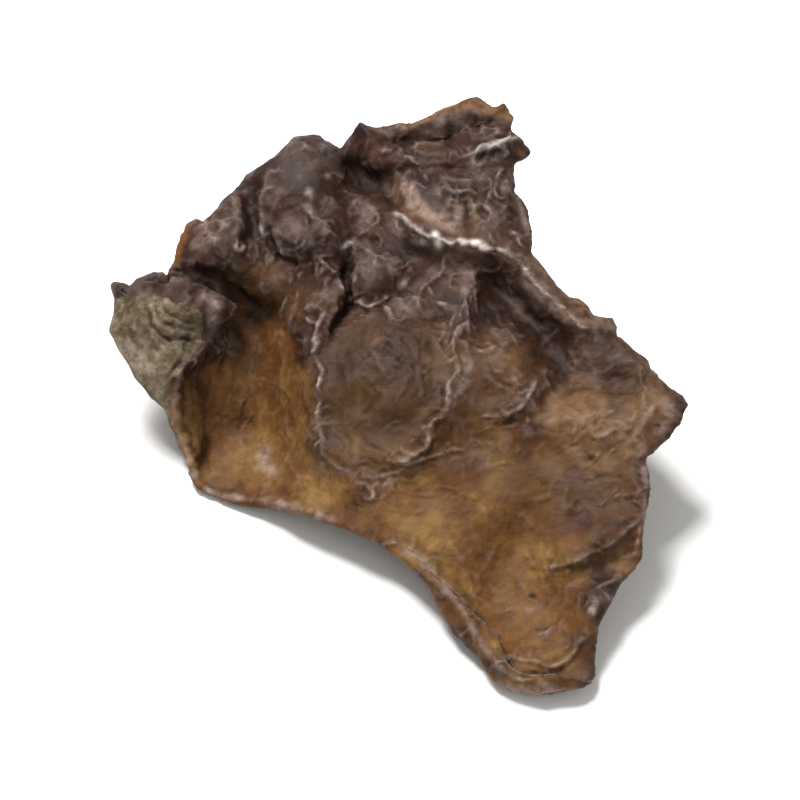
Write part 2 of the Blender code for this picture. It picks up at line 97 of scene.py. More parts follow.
Point = tuple[float, float]
Pair = tuple[float, float]
Swing = tuple[float, float, float, float]
Tones = tuple[str, str, str]
Socket = bpy.types.NodeSocket


class Mask(Enum):
    """Tints that the skin carries as attributes, from 0 for none to 1 for full. Some of them are
    painted light: pale dust that also stands for a painted highlight on crests, painted shade in
    hollows and grooves that also darkens the own tone in places, a painted highlight along the
    crest, and a painted glow of light through thin flesh.
    """

    AMBER = "amber"
    TAN = "tan"
    # pale dust, and painted highlight on crests
    DUST_AND_HIGHLIGHT = "dust_and_highlight"
    # painted shade in hollows, grooves and under the crest, and a darker own tone in places
    SHADE = "shade"
    # painted highlight along the crest and the lip
    HIGHLIGHT = "chalk"
    # painted glow of light shining through thin flesh
    GLOW = "glow"
    FELT = "felt"


Masks = dict[Mask, np.ndarray]


class Vein(NamedTuple):
    """A ridge or groove on the inner side."""

    path: Sequence[Point]  # points of the drawing that it runs through
    width: float  # how far it spreads to each side, in mm
    rise: float  # height above the skin in mm, or depth where negative
    dust_and_highlight: float = 0.0  # pale dust and painted highlight on it, from 0 to 1
    shade: float = 0.0  # painted shade in it, from 0 to 1
    stray: float = 1.0  # how much of the common wander it takes part in


class Area(NamedTuple):
    """A tinted field with a soft edge."""

    outline: Sequence[Point]  # corners of the field on the drawing
    feather: float  # width of its soft edge in mm
    amount: float  # strength from 0 to 1


class Spot(NamedTuple):
    """A tinted round or oval spot."""

    at: Point  # its middle on the drawing
    radii: Pair  # half its length and half its width, in mm
    turn: float  # angle of its length above the horizontal, in degrees
    amount: float  # strength from 0 to 1


class Fan(NamedTuple):
    """Fine streaks that run from spread starts towards one end."""

    starts: tuple[Point, Point]  # the two ends of the line that the streaks start on
    ends: tuple[Point, Point]  # the two ends of the line that they run to
    count: int  # number of streaks
    width: float  # half the width of a streak in mm
    rise: float  # height in mm
    dust_and_highlight: float  # pale dust and painted highlight on them


# Veins that part the middle of the ear
MAIN_VEINS = (
    Vein(((-8.2, 12.8), (-7, 12.4), (-6.2, 11.5), (-5.7, 10.5), (-5.8, 9.2), (-6.4, 8.2),
          (-7.2, 7.2), (-7.6, 6), (-7.5, 5), (-7.8, 4), (-7.2, 3), (-7.4, 1.5), (-7.5, 0.5),
          (-7.2, -0.8), (-7.3, -2), (-6.8, -3.5), (-7.1, -4.5)), 0.36, 0.3, 0.8),
    Vein(((-7.1, -4.5), (-6.2, -5.6), (-5, -6.5), (-3.5, -7.5)), 0.34, 0.16, 0.35),
    Vein(((6, 9.8), (5.8, 8.5), (6, 7), (5.3, 6), (4.9, 5), (5, 3.5), (5.2, 2.5), (4.4, 1.5),
          (4.4, 0), (4, -1.3), (3, -2), (2.6, -3), (2.2, -4.2), (1, -5), (-1, -5.5)), 0.36, 0.28,
          0.85, 0.0, 0.8),
    Vein(((4.3, 2.2), (4, 0.6), (3.6, -0.8), (2.6, -1.9), (2.1, -3.2)), 0.36, -0.26, 0.0, 0.8),
    Vein(((5.9, 6.7), (5.3, 6.4), (4.95, 5.4), (4.9, 4.4)), 0.34, 0.3, 1.0, 0.0, 0.4),
    Vein(((12.2, 2), (12, 1.2), (11.6, 0.3), (11, -0.6), (10, -1.1), (9, -1.3), (7.4, -1.3)), 0.34,
          0.22, 0.9, 0.0, 0.5),
    Vein(((8.5, 4.7), (8.3, 4.4), (8, 4)), 0.35, 0.2, 0.5),
    Vein(((-3.5, -7.1), (-2.5, -6.9), (-1.4, -6.8), (-0.4, -6.5), (0.3, -6), (0.5, -5.5)), 0.34,
          0.16, 1.0, 0.0, 0.4),
    Vein(((-3.6, -7.9), (-3.2, -8.6), (-2.7, -8.9), (-2.4, -8.4), (-2.6, -7.8), (-1.9, -7.3),
          (-1.4, -6.8)), 0.32, 0.12, 0.85, 0.0, 0.6),
    Vein(((-2, -8.9), (-1.1, -8.4), (-0.6, -7.8), (-0.5, -7.2), (0.1, -6.4)), 0.32, 0.14, 0.9, 0.0,
          0.5),
    Vein(((-1.8, -7.9), (-1.1, -7.3), (-0.8, -7.6), (-1.1, -8)), 0.3, 0.1, 0.8, 0.0, 0.5),
    Vein(((0.2, -7), (1, -7.3), (1.6, -6.6)), 0.28, 0.12, 0.45),
    Vein(((-1.6, -5.4), (0.5, -5.6), (2, -5.3), (3.6, -4.9), (4.6, -4.3)), 0.32, 0.18, 0.85, 0.0,
          0.4),
    Vein(((-7, -4.5), (-5.4, -5.2), (-3.6, -5.6), (-1.6, -5.4)), 0.28, 0.12, 0.3),
    Vein(((-3.8, -3.2), (-2.6, -4.2), (-0.9, -5.1)), 0.3, -0.16, 0.0, 0.6),
    Vein(((-3.6, 5.1), (-1.6, 3.9), (0.4, 2.7)), 0.5, 0.14, 0.25),
    Vein(((-2.4, 5.9), (-0.6, 4.9), (1.4, 3.6)), 0.45, 0.12, 0.2),
    Vein(((2.2, 3.4), (1.8, 1.6), (1.9, -0.4)), 0.45, 0.12, 0.2),
    Vein(((6.2, 4.6), (7.2, 4.2), (8.3, 4.6), (9.2, 5.4)), 0.32, 0.16, 0.5),
    Vein(((7.4, 2.2), (8.6, 1.6), (10.2, 1.9), (11.4, 2.8)), 0.36, 0.14, 0.3),
    Vein(((-1.4, 8.9), (-1.1, 7.7), (0, 7.2), (1.3, 7.5), (1.7, 8.5), (1, 9.4)), 0.34, 0.2, 0.5),
    Vein(((2.6, 9.2), (3.4, 8.6), (4.6, 8.4)), 0.32, 0.18, 0.45),
    Vein(((6.8, 11.6), (7.6, 11.4), (8.5, 11.5)), 0.3, 0.14, 0.7),
)

# Lumps, arcs and curls of the upper half
UPPER_RIDGES = (
    Vein(((-14.4, 19.2), (-14.6, 17.4), (-14.5, 15.6), (-14.9, 14.2)), 0.6, 0.16, 0.4, 0.0, 0.5),
    Vein(((-12.2, 20.2), (-12, 18.6), (-12.3, 17), (-12.2, 15.2)), 0.6, 0.18, 0.45, 0.0, 0.5),
    Vein(((-8.6, 17.6), (-7.6, 16.4), (-6.5, 15.1), (-5.5, 14.1)), 0.36, 0.22, 0.7),
    Vein(((-11.2, 15.6), (-10.9, 14), (-9.8, 13.1), (-8.6, 13.3), (-7.9, 14.3)), 0.4, 0.18, 0.7),
    Vein(((-12.5, 17.2), (-12.6, 15.9), (-12.1, 14.7), (-11.2, 13.7), (-10.1, 13), (-9, 12.8)),
          0.34, 0.14, 0.8, 0.0, 0.4),
    Vein(((-10.9, 14.7), (-10.6, 13.8), (-9.8, 13.4), (-8.8, 13.8), (-8.6, 14.7)), 0.3, 0.12, 0.85,
          0.0, 0.3),
    Vein(((-10.4, 14.9), (-10.1, 14.2), (-9.4, 14), (-9, 14.6)), 0.3, 0.1, 0.7, 0.0, 0.3),
    Vein(((-15, 15), (-14.6, 13.5), (-14, 13.3), (-13.8, 14.5)), 0.35, 0.22, 0.6),
    Vein(((-5.2, 13.1), (-4.8, 13.9), (-4.2, 14.1), (-3.6, 13.7)), 0.36, 0.35, 1.4, 0.0, 0.3),
    Vein(((-4, 9.3), (-3.2, 8.6), (-2.2, 8.7), (-1, 9.4), (0, 9.8)), 0.35, 0.25, 0.85),
    Vein(((-0.2, 9.1), (0.3, 8.6), (0.8, 8.9)), 0.3, 0.2, 0.6),
    Vein(((-2, 22.3), (-0.5, 22), (0.5, 21.6), (1.8, 21), (2.5, 20.8)), 0.4, 0.25, 0.75),
    Vein(((8.2, 19.2), (8.6, 19.8), (9.3, 19.8), (9.8, 19.1), (9.4, 18.4), (8.6, 18.3),
          (8.2, 19.2)), 0.32, 0.25, 0.6),
    Vein(((10, 15), (10.6, 14.6), (11.2, 14.4)), 0.35, 0.2, 0.6),
    Vein(((6.3, 22.2), (7.4, 22.4), (8.4, 22.9), (9.5, 23.3), (10.2, 23.4)), 0.4, 0.45, 1.0),
    Vein(((6.9, 22.2), (6.8, 21.6), (6.6, 21)), 0.32, 0.3, 0.9),
    Vein(((8, 22.5), (8.1, 21.9), (7.9, 21.3)), 0.3, 0.3, 0.85),
    Vein(((9.2, 23), (9.3, 22.2), (9.1, 21.7)), 0.32, 0.3, 0.7),
    Vein(((7.4, 21.9), (7.4, 21.4)), 0.35, -0.35, 0.0, 1.0),
    Vein(((8.7, 22.3), (8.6, 21.8)), 0.35, -0.35, 0.0, 1.0),
    Vein(((3.6, 16.9), (4.5, 16.2), (5.1, 15.2)), 0.4, 0.22, 0.7),
    Vein(((6.7, 17.9), (6.6, 16.9), (7.1, 15.6), (8.2, 14.9)), 0.42, 0.25, 0.6),
    Vein(((8.9, 21), (9, 20.4), (8.6, 19.9)), 0.34, 0.2, 0.4),
    Vein(((3, 19.2), (4.6, 18.6), (6.2, 18.9), (7.2, 18.2)), 0.4, 0.22, 0.5),
    Vein(((4.4, 17.4), (5.8, 17), (7.6, 17.1), (8.8, 16.5)), 0.4, 0.2, 0.5),
    Vein(((-3.6, 13.8), (-2.8, 13.2), (-2.2, 12.8), (-1.4, 12.6), (-0.4, 12.4)), 0.4, 0.22, 0.7,
          0.0, 0.4),
    Vein(((-3.8, 11.7), (-3.4, 11.2), (-3, 10.7)), 0.36, 0.2, 0.85, 0.0, 0.3),
    Vein(((2, 10), (2.6, 10.5), (3.4, 11.1), (4.2, 11.5)), 0.36, 0.16, 0.55, 0.0, 0.5),
    Vein(((-2.4, 11.8), (-1.4, 11.2), (-0.8, 10.4), (-0.2, 10.2)), 0.4, -0.2, 0.0, 0.5, 0.5),
)

# Grooves and creases of the upper half
UPPER_GROOVES = (
    Vein(((-4.5, 13.5), (-4.6, 12), (-4.7, 10), (-4.6, 8.5), (-5.3, 7.2), (-5.8, 6), (-5.5, 5)),
          0.6, -0.6, 0.0, 1.3),
    Vein(((-3.5, 14.4), (-2.5, 14.2), (-2, 13.5)), 0.4, -0.3, 0.0, 0.9),
    Vein(((-4.1, 8), (-2.6, 7.9), (-0.8, 8.8)), 0.4, -0.28, 0.0, 0.85),
    Vein(((2.4, 6.9), (3.6, 7.3), (4.6, 7.9)), 0.3, -0.2, 0.0, 0.7),
    Vein(((-11.8, 16.2), (-11.6, 14.2), (-10.4, 12.6), (-9, 12.4), (-7.8, 13.2)), 0.4, -0.32, 0.0,
          0.85),
    Vein(((-13, 20.2), (-12.9, 18.8), (-13.5, 17.2), (-13.2, 15.4), (-14, 13.5)), 0.85, -0.5, 0.0,
          1.2, 0.3),
    Vein(((-5, 21.8), (-4.2, 20.8), (-3.1, 19.7), (-1.5, 18.9)), 1.2, -0.9, 0.0, 1.0, 0.3),
    Vein(((-7.6, 15.2), (-6.8, 14.2), (-6, 13.4)), 0.6, -0.3, 0.0, 0.7),
    Vein(((0, 22.6), (2, 21.8), (4, 21.5)), 0.4, -0.3, 0.0, 0.8),
    Vein(((3.5, 20.7), (4.8, 20.7), (6, 20.5)), 0.45, -0.35, 0.0, 0.9),
    Vein(((1.4, 23.5), (3.4, 23.7), (5.8, 24.1), (8.4, 24.7)), 1.3, 1.1),
    Vein(((2.6, 22.9), (4.5, 23), (6.8, 23.1), (8.6, 23.7)), 0.4, -0.25, 0.0, 0.6),
    Vein(((3.2, 24.3), (3.8, 23.6), (4.2, 23)), 0.3, 0.12, 0.35),
    Vein(((5.4, 24.9), (5.9, 24.2), (6.2, 23.6)), 0.3, 0.12, 0.3),
    Vein(((9.4, 17.2), (10.2, 16.4), (11, 16)), 0.4, -0.25, 0.0, 0.6),
    Vein(((-19, 11.9), (-17.5, 11.6), (-16, 11), (-15, 10.3), (-13.5, 9.2), (-12, 8.6)), 0.5, -0.3,
          0.0, 0.95),
    Vein(((-17.5, 13.6), (-16.6, 13), (-15.6, 12.3)), 0.4, -0.2, 0.0, 0.5),
)

# Right wing, right margin and the band along the crest
RIGHT_FOLDS = (
    Vein(((10.6, 13.6), (11.8, 12.2), (13.2, 10.6), (14.6, 9)), 0.5, -0.12, 0.0, 0.35),
    Vein(((16.6, 6.6), (17.6, 6.1), (18.8, 5.9)), 0.4, 0.2, 0.5),
    Vein(((14.5, 0.5), (16.2, 0.9), (18, 1), (20, 0.8), (22, 0.5)), 0.4, -0.25, 0.0, 0.6),
    Vein(((10.8, -1.6), (9.4, -2), (8, -2.2)), 0.4, -0.25, 0.0, 0.6),
    Vein(((16.5, -5.2), (17, -5.3), (17.5, -5.5)), 0.35, -0.2, 0.0, 0.7),
    Vein(((17, -7.2), (18.5, -6.8), (20.5, -7)), 0.35, -0.22, 0.0, 0.7),
    Vein(((17.5, -9.5), (19, -8.8), (20.3, -8.3)), 0.35, 0.22, 0.7),
    Vein(((21.9, -10.2), (20.5, -11.4), (19, -12.5), (17.6, -13.4), (16.6, -13.8), (15.3, -14.6),
          (12.4, -15.1)), 0.36, 0.24, 0.75, 0.0, 0.3),
    Vein(((15.8, -15.3), (16.4, -15), (16.9, -14.5)), 0.4, -0.15, 0.0, 0.5),
    Vein(((16.5, -16), (18, -16.5), (20, -15.5)), 0.4, 0.2, 0.35),
    Vein(((17.2, -17.4), (17.5, -18.4), (17, -19.3)), 0.4, 0.22, 0.8),
    Vein(((16.4, -17), (16.4, -18), (16.2, -19)), 0.32, -0.25, 0.0, 0.8),
    Vein(((21.7, -4.8), (21.9, -7.5), (21.7, -10), (21.3, -13), (20.2, -15)), 0.45, 0.15, 0.6),
    Vein(((20.4, -4.2), (21.4, -2.6), (22.4, -1), (23.4, 0.1)), 0.45, 0.2, 0.45, 0.0, 0.4),
    Vein(((19.8, -4), (20.8, -2.6), (21.9, -1.1)), 0.4, -0.2, 0.0, 0.45, 0.4),
)

# Wrinkles of the lower lobe and its raised rim
LOWER_WRINKLES = (
    Vein(((15.3, -19.6), (14, -20.2), (13, -20.8), (12.2, -21.2)), 0.3, 0.14, 0.55),
    Vein(((8.8, -22.7), (10.2, -23.1), (12, -23.4), (13.6, -23.8), (15, -23.1), (15.9, -21.8),
          (16.3, -20.8)), 0.32, 0.2, 0.7, 0.0, 0.3),
    Vein(((10.4, -23.2), (11.8, -22.6), (13.2, -22.4)), 0.28, 0.1, 0.4, 0.0, 0.4),
    Vein(((9.8, -24.3), (11.6, -24.6), (13.2, -24.7), (14.8, -24.1), (15.9, -23)), 0.4, -0.2, 0.0,
          0.7),
    Vein(((7.8, -19.3), (9.4, -18.8), (11.2, -18.7), (12.8, -18.8)), 0.4, 0.08, 0.2),
    Vein(((7, -16.6), (8, -13.6), (9.6, -11.8)), 0.5, 0.1, 0.15),
    Vein(((3.6, -11.6), (5, -13.4), (6.4, -16.2)), 0.5, 0.1, 0.12),
    Vein(((-0.5, -13.4), (1, -13.8), (2.3, -14.8), (3.3, -16), (4.3, -17), (5.3, -18.2),
          (6.2, -19.8), (6.8, -21), (7.5, -22.2), (8.5, -23.3), (9.5, -24.5), (10.5, -25.3)), 0.66,
          0.26, 0.85, 0.3, 0.2),
    Vein(((1, -14.9), (2.4, -16.2), (3.8, -18), (5, -19.8), (6, -21.6), (7.2, -23.4), (8.6, -25)),
          0.45, -0.12, 0.0, 0.3, 0.2),
    Vein(((-2, -12.9), (0, -12.9), (1.5, -13.5), (3, -14.7)), 0.3, 0.12, 0.55, 0.0, 0.3),
    Vein(((11.4, -17.8), (11.8, -17.6), (12.2, -17.7)), 0.32, -0.25, 0.0, 0.9),
    Vein(((-1.5, -6.6), (-0.5, -6.4), (0.5, -6.2)), 0.3, -0.2, 0.0, 0.6),
    Vein(((-19.2, -4.5), (-18.6, -6.4), (-17.7, -7.7), (-16.6, -8.5), (-15.2, -8.8), (-13.6, -9),
          (-11.8, -9.1), (-10, -9.6), (-7.6, -10.3), (-5.2, -11)), 0.75, 0.06, 0.6, 0.15, 0.8),
    Vein(((-18, -5.6), (-17.3, -7.2), (-16.2, -7.9), (-14.6, -8.2), (-12.6, -8.5)), 0.45, -0.12,
          0.0, 0.5),
    Vein(((-5.2, -11), (-3.2, -11.9), (-1.4, -12.9)), 0.4, 0.06, 0.4, 0.0, 0.6),
)

# Left flap: pleats of its outer side and the rolled margin
FLAP_PLEATS = (
    Vein(((-20.5, 9.1), (-20.1, 8.4), (-19.3, 8), (-18.3, 8.1)), 0.3, -0.2, 0.0, 0.6),
    Vein(((-21.3, 9.1), (-20.9, 8), (-19.9, 7.3), (-18.7, 7.1), (-17.9, 7.5)), 0.32, -0.25, 0.0,
          0.75),
    Vein(((-22, 9), (-21.5, 7.6), (-20.4, 6.6), (-18.8, 6.3), (-17.8, 6.7)), 0.32, -0.25, 0.0,
          0.75),
    Vein(((-22.8, 8.6), (-22.3, 6.9), (-21, 5.7), (-19.3, 5.4), (-17.6, 5.7)), 0.36, -0.3, 0.0,
          0.9),
    Vein(((-21.4, 2), (-20.4, 2.7), (-18.8, 3.7)), 0.32, -0.3, 0.0, 0.9),
    Vein(((-22.9, 7.6), (-22.3, 5.9), (-21.4, 4.9), (-20, 4.5)), 0.35, 0.16, 0.4),
    Vein(((-23.9, 7.4), (-23.3, 5.6), (-22.3, 4), (-20.9, 3.2)), 0.35, 0.14, 0.4),
    Vein(((-24.6, 6.2), (-23.6, 4), (-22.2, 2.4), (-21, 1.6)), 0.35, 0.12, 0.35),
    Vein(((-15.4, 6.8), (-16.6, 5.4), (-18.3, 4.1), (-19.6, 2.6), (-20.1, 0), (-19.9, -1.6),
          (-19.1, -4.4), (-18.2, -7.6)), 0.6, 0.2, 0.55, 0.0, 0.4),
    Vein(((-14.4, 5.2), (-16.1, 4.1), (-18, 3), (-19, 1.8), (-19.4, 0), (-19.2, -1.6),
          (-18.4, -4.4), (-17.6, -7)), 0.4, -0.2, 0.0, 0.75),
    Vein(((-17.2, 9.6), (-17.5, 8), (-17.4, 6.6), (-16.8, 5.6)), 0.36, -0.12, 0.0, 0.5, 0.4),
    Vein(((-15.6, 9.2), (-15.3, 7.8), (-15.7, 6.2), (-16.8, 5), (-18.4, 3.8)), 0.36, -0.12, 0.0,
          0.5, 0.4),
    Vein(((-8.7, 0.5), (-8.3, -1.2), (-7.9, -3)), 0.35, -0.15, 0.0, 0.6),
    Vein(((-15.3, 4.8), (-15.6, 3), (-15.8, 1.5)), 0.6, -0.2, 0.0, 0.55),
)

VEINS = (MAIN_VEINS + UPPER_RIDGES + UPPER_GROOVES + RIGHT_FOLDS + LOWER_WRINKLES
         + FLAP_PLEATS)

# Thin pale rim along the crest, with pale dust and a painted highlight
CREST = Vein(((-0.6, 16.7), (0.3, 16), (1.4, 15.3), (2.8, 14.8), (3.4, 14.4), (4.3, 13.9),
              (5.4, 14.2), (6.7, 14.1), (8.1, 13.6), (9.5, 12.9), (11, 11.7), (12.4, 10.2),
              (13.9, 8.8), (15.3, 7.3), (16.6, 6.4)), 0.2, 0.16)

# Clear margin of the top flap, given a tan tint and a painted glow of light through it
TOP_FLAP_RIM = Area(((0.4, 24.1), (3.5, 24.9), (5.5, 25.3), (8, 25), (9.8, 24.2), (10.4, 25.4),
                     (9.4, 27.4), (6.8, 28), (3, 27), (0, 25.4)), 0.4, 0.4)

# Tinted fields of each mask
AREAS = {
    Mask.AMBER: (
        Area(((-14, 8.2), (-12, 7.8), (-9.5, 6.4), (-8.4, 4), (-8.4, 0), (-7.8, -3), (-6.5, -5),
              (-5, -7), (-3, -9), (0, -11), (2.5, -14), (-5, -13), (-12, -11), (-19, -9),
              (-21, -5), (-20, 0), (-18, 2.6), (-15.4, 4.4), (-14.2, 6)), 1.3, 0.9),
        Area(((-4, -8.5), (2, -6.5), (8, -4), (13, -6), (16, -9), (18, -13), (17, -17), (16, -20),
              (16, -24), (10, -25), (5.5, -20.5), (2.5, -16), (-2, -13)), 1.8, 1.0),
        Area(((-7, 2), (-4, 1), (0, 1.5), (4, 0.5), (8, -1.5), (14, -3), (20, -4), (22, -8),
              (22, -14), (16, -12), (8, -6), (2, -8), (-3, -9), (-7, -4)), 2.4, 0.6),
        Area(((-7, 7), (-3, 7.4), (2, 7.4), (5, 6), (10, 5), (13, 3), (20, 4), (23, 1), (20, -3),
              (8, -3), (-7, 0)), 2.0, 0.35),
        Area(((-15, 11.4), (-12.4, 12), (-10, 11.2), (-8.4, 9.6), (-8, 8), (-11, 7.6),
              (-13.6, 9.2)), 0.9, 0.35),
        Area(((16.4, -14.4), (18.4, -13), (20.6, -11.6), (21.9, -10.4), (21.9, -14), (20.6, -15.8),
              (18.8, -15)), 0.5, 0.65),
        Area(((0.4, -14.6), (2, -16.4), (3.6, -18.6), (4.9, -20.8), (6.4, -23.2), (8.2, -25),
              (16, -25), (16.4, -26.6), (8, -26.6), (4, -21), (0, -15.4)), 0.4, 0.75),
    ),
    Mask.TAN: (
        Area(((13.5, 0), (18, 0.4), (23, 0.2), (24.5, -1), (22, -4.5), (15.5, -5), (12, -3)), 1.2,
              0.8),
        Area(((0.2, 19.4), (0.4, 17.6), (1.6, 16.2), (3.4, 15.2), (5.6, 14.7), (5.2, 15.4),
              (3.4, 16.6), (2.2, 17.8), (1.8, 19.4)), 0.3, 0.55),
        Area(((8.6, 13.2), (11, 11.4), (13, 9.4), (16, 6.8), (19, 5.8), (17.5, 8), (14.4, 9.9),
              (12, 11.9), (9.4, 13.6)), 0.6, 0.35),
        TOP_FLAP_RIM,
    ),
    # pale dust, and painted highlight on the crest band and the lower part of the felt
    Mask.DUST_AND_HIGHLIGHT: (
        Area(((1, 23), (4, 23.8), (7.6, 24.4), (8.8, 25), (6.6, 25.6), (3.4, 24.8), (1, 24.2)),
              0.6, 0.3),
        Area(((0.3, 19.4), (0.6, 17.6), (1.8, 16.3), (3.4, 15.4), (5, 15), (4.8, 15.6),
              (3.2, 16.6), (2.1, 17.8), (1.6, 19.4)), 0.3, 0.5),
        Area(((8.6, 13.5), (11, 12), (12.6, 10.9), (14.2, 9.3), (16.4, 7.8), (18.8, 6.4),
              (19, 5.5), (16.6, 6.2), (14, 7.8), (12, 10), (10, 12)), 0.6, 0.26),
        Area(((-25.4, 5), (-23.6, 6), (-21.6, 4), (-20.8, 1.6), (-20.8, -1), (-22.6, 0),
              (-24.6, 3)), 0.8, 0.35),
        Area(((4.6, 3.4), (6.2, 3.6), (6.6, 1.4), (5.8, -1), (4.6, -2), (4.2, -0.6), (4.8, 1.4)),
              0.5, 0.4),
        Area(((8.2, -25.5), (11, -26), (16, -25.9), (16.8, -26.4), (12, -27.6), (7.4, -26.4)), 0.4,
              0.5),
    ),
    # painted shade under the crest, in hollows and under the flaps, and a darker own tone in
    # places
    Mask.SHADE: (
        Area(((6, -4), (14, -5), (21, -6), (21.5, -11), (17, -12.5), (12, -12), (4, -8)), 2.0,
              0.32),
        Area(((-6, 6), (-2, 6.4), (3, 5), (4, 0), (2, -3), (-2, -4.6), (-6, -3.6)), 1.6, 0.55),
        Area(((13, 1.4), (17, 1.2), (22, 1), (22.4, 2.4), (19.6, 5), (15.6, 7.4), (12.6, 9)), 1.4,
              0.36),
        Area(((-19.4, 2.4), (-18.4, 2.8), (-17.6, 1), (-17.4, -3), (-17.4, -6), (-18.2, -6.4),
              (-18.8, -3), (-19.4, 0)), 0.5, 0.6),
        Area(((-21, 7.2), (-19, 8.2), (-17.6, 7.4), (-17.4, 5.6), (-20.4, 5.3)), 0.6, 0.4),
        Area(((-14.6, 7.6), (-12.6, 7.4), (-13.4, 4), (-14.6, 1.4), (-16, 1.6), (-15.6, 4.4)), 1.0,
              0.35),
        Area(((6.4, 10.5), (8.5, 10.8), (11, 9.5), (13.5, 7.5), (15.5, 5.6), (15, 3.4), (13, 1.6),
              (11.6, 3.6), (9.6, 5.6), (7.2, 7.6)), 1.3, 0.7),
        Area(((-6.2, 22.2), (-3.4, 21.8), (-1, 20.2), (-1.2, 18.6), (-3.4, 18.5), (-5.2, 19.8)),
              0.7, 0.85),
        Area(((-12.6, 21.6), (-9, 24), (-5.4, 23), (-5.6, 21), (-7.4, 18.4), (-10.4, 19.6)), 0.9,
              0.28),
        Area(((13.6, -14.9), (16, -14.9), (18.6, -15), (19.4, -15.8), (17.6, -16.3), (15, -15.6)),
              0.4, 0.5),
        Area(((8.8, -23.2), (13, -24), (16, -22.6), (17, -24.8), (12, -25.4)), 0.7, 0.42),
        Area(((-24, 10), (-20, 10.4), (-16, 10), (-14.4, 8.4), (-16.6, 8), (-20, 9), (-24, 9.4)),
              0.6, 0.3),
    ),
    # painted glow of light through the thin left margin and the top flap's rim
    Mask.GLOW: (
        Area(((-21, 12), (-19.6, 12.4), (-18.8, 14.5), (-17.6, 15.9), (-18.6, 17), (-21, 14)), 0.3,
              0.6),
        TOP_FLAP_RIM,
    ),
    Mask.FELT: (
        Area(((-26.5, 9.6), (-24, 9.4), (-21, 8.7), (-18.2, 8), (-17.4, 6.4), (-18.4, 4.8),
              (-19.5, 3.4), (-20.1, 1.6), (-20.3, 0), (-20.1, -1.5), (-19.6, -3), (-19.2, -5),
              (-18.6, -7), (-20, -8), (-23, -2), (-28, 3)), 0.4, 1.0),
    ),
}

# Tinted spots of each mask
SPOTS = {
    Mask.TAN: (
        Spot((6.6, 16.8), (1.9, 0.5), 100, 0.6),
        Spot((5, 16.6), (1.3, 0.4), 95, 0.6),
    ),
    # pale dust spots, some of them painted highlights on raised bits
    Mask.DUST_AND_HIGHLIGHT: (
        Spot((-12.2, -5.2), (1, 0.6), 70, 0.6),
        Spot((-11.6, -6.2), (0.8, 0.5), -10, 0.5),
        Spot((-8.2, 18.6), (0.35, 0.35), 0, 1.0),
        Spot((-3, 11.8), (1.6, 1.6), 0, 0.3),
        Spot((-8.5, 21), (2.6, 1.8), 10, 0.2),
        Spot((4.1, 14.2), (0.9, 0.35), -6, 0.8),
        Spot((0.2, 10.4), (0.6, 0.4), 30, 0.85),
        Spot((5.8, 9.7), (0.35, 0.6), 0, 0.7),
        Spot((2, 14.2), (0.7, 0.4), -20, 0.5),
        Spot((6.6, 21.4), (0.3, 0.6), 0, 0.9),
        Spot((8.2, 22.1), (0.16, 0.4), 0, 0.9),
        Spot((9.3, 22.4), (0.16, 0.4), 10, 0.8),
        Spot((24.2, -0.9), (1.1, 0.6), -35, 0.5),
        Spot((1.1, 18.6), (0.9, 0.5), -75, 0.9),
        Spot((5.2, 16.2), (0.9, 0.3), 95, 0.6),
        Spot((11.1, 16.2), (1.9, 0.3), -72, 0.45),
        Spot((23.3, -2.5), (0.7, 0.4), 40, 0.6),
        Spot((7, 21.2), (0.5, 0.3), 10, 0.8),
        Spot((5.2, 16.6), (0.8, 0.4), 70, 0.6),
        Spot((-16.6, 8), (1.7, 0.6), 82, 0.75),
        Spot((-9.8, 14.4), (0.9, 0.7), -30, 0.4),
        Spot((-8, 17), (0.7, 0.4), -30, 0.7),
        Spot((-6.5, 20), (0.3, 0.3), 0, 0.7),
        Spot((17.3, -18.4), (0.7, 0.3), 75, 0.6),
        Spot((4.2, 16.2), (1.6, 0.5), -50, 0.5),
        Spot((0.4, 8.2), (1.1, 0.9), 0, 0.35),
    ),
    # painted shade in hollows, pits and under the lip
    Mask.SHADE: (
        Spot((8.4, 22.15), (1.6, 0.3), 17, 0.95),
        Spot((-3.4, 20.2), (2.4, 1.2), -22, 0.95),
        Spot((-4.5, 13), (0.3, 0.8), 0, 0.9),
        Spot((23, -2.3), (0.35, 0.25), 0, 0.9),
        Spot((5.9, 17), (1.4, 0.22), 100, 0.5),
        Spot((8.9, 17), (1.8, 0.45), 92, 0.4),
        Spot((-15.3, 7.8), (1.8, 0.3), 84, 0.5),
        Spot((11.8, -17.5), (0.35, 0.3), 0, 1.0),
        Spot((11.2, 22.3), (0.8, 0.7), -40, 0.6),
        Spot((9.3, 26.2), (0.6, 0.5), 0, 0.6),
        Spot((-24.8, 10), (0.9, 0.7), 0, 0.5),
        Spot((-3.9, 24), (0.9, 0.7), 60, 0.6),
        Spot((-1.8, 1), (1.8, 1.2), -50, 0.35),
        Spot((-6.7, 14), (1.4, 1.2), 0, 0.6),
        Spot((24.3, -2.9), (1.9, 0.35), 54, 0.8),
    ),
    # painted highlights on the crest and the lip
    Mask.HIGHLIGHT: (
        Spot((3.2, 14.7), (0.3, 0.35), 0, 1.0),
        Spot((3.4, 14.1), (0.3, 0.5), 10, 0.85),
        Spot((8.4, 22.75), (2.1, 0.15), 19, 0.5),
        Spot((-4.7, 13.8), (0.5, 0.16), 25, 0.55),
        Spot((6.7, 14.1), (0.5, 0.22), 0, 1.0),
    ),
    # painted glow of light through thin margins
    Mask.GLOW: (
        Spot((-0.3, 18.6), (1.2, 0.2), 85, 0.55),
        Spot((16.5, 8.2), (0.7, 0.4), -30, 0.5),
        Spot((18.5, 7), (0.6, 0.4), -30, 0.5),
        Spot((-0.3, -13.4), (0.7, 0.4), 0, 0.9),
        Spot((0.8, 16.6), (1.3, 0.2), -46, 0.55),
        Spot((10.8, 22), (0.4, 0.25), -40, 0.6),
    ),
}

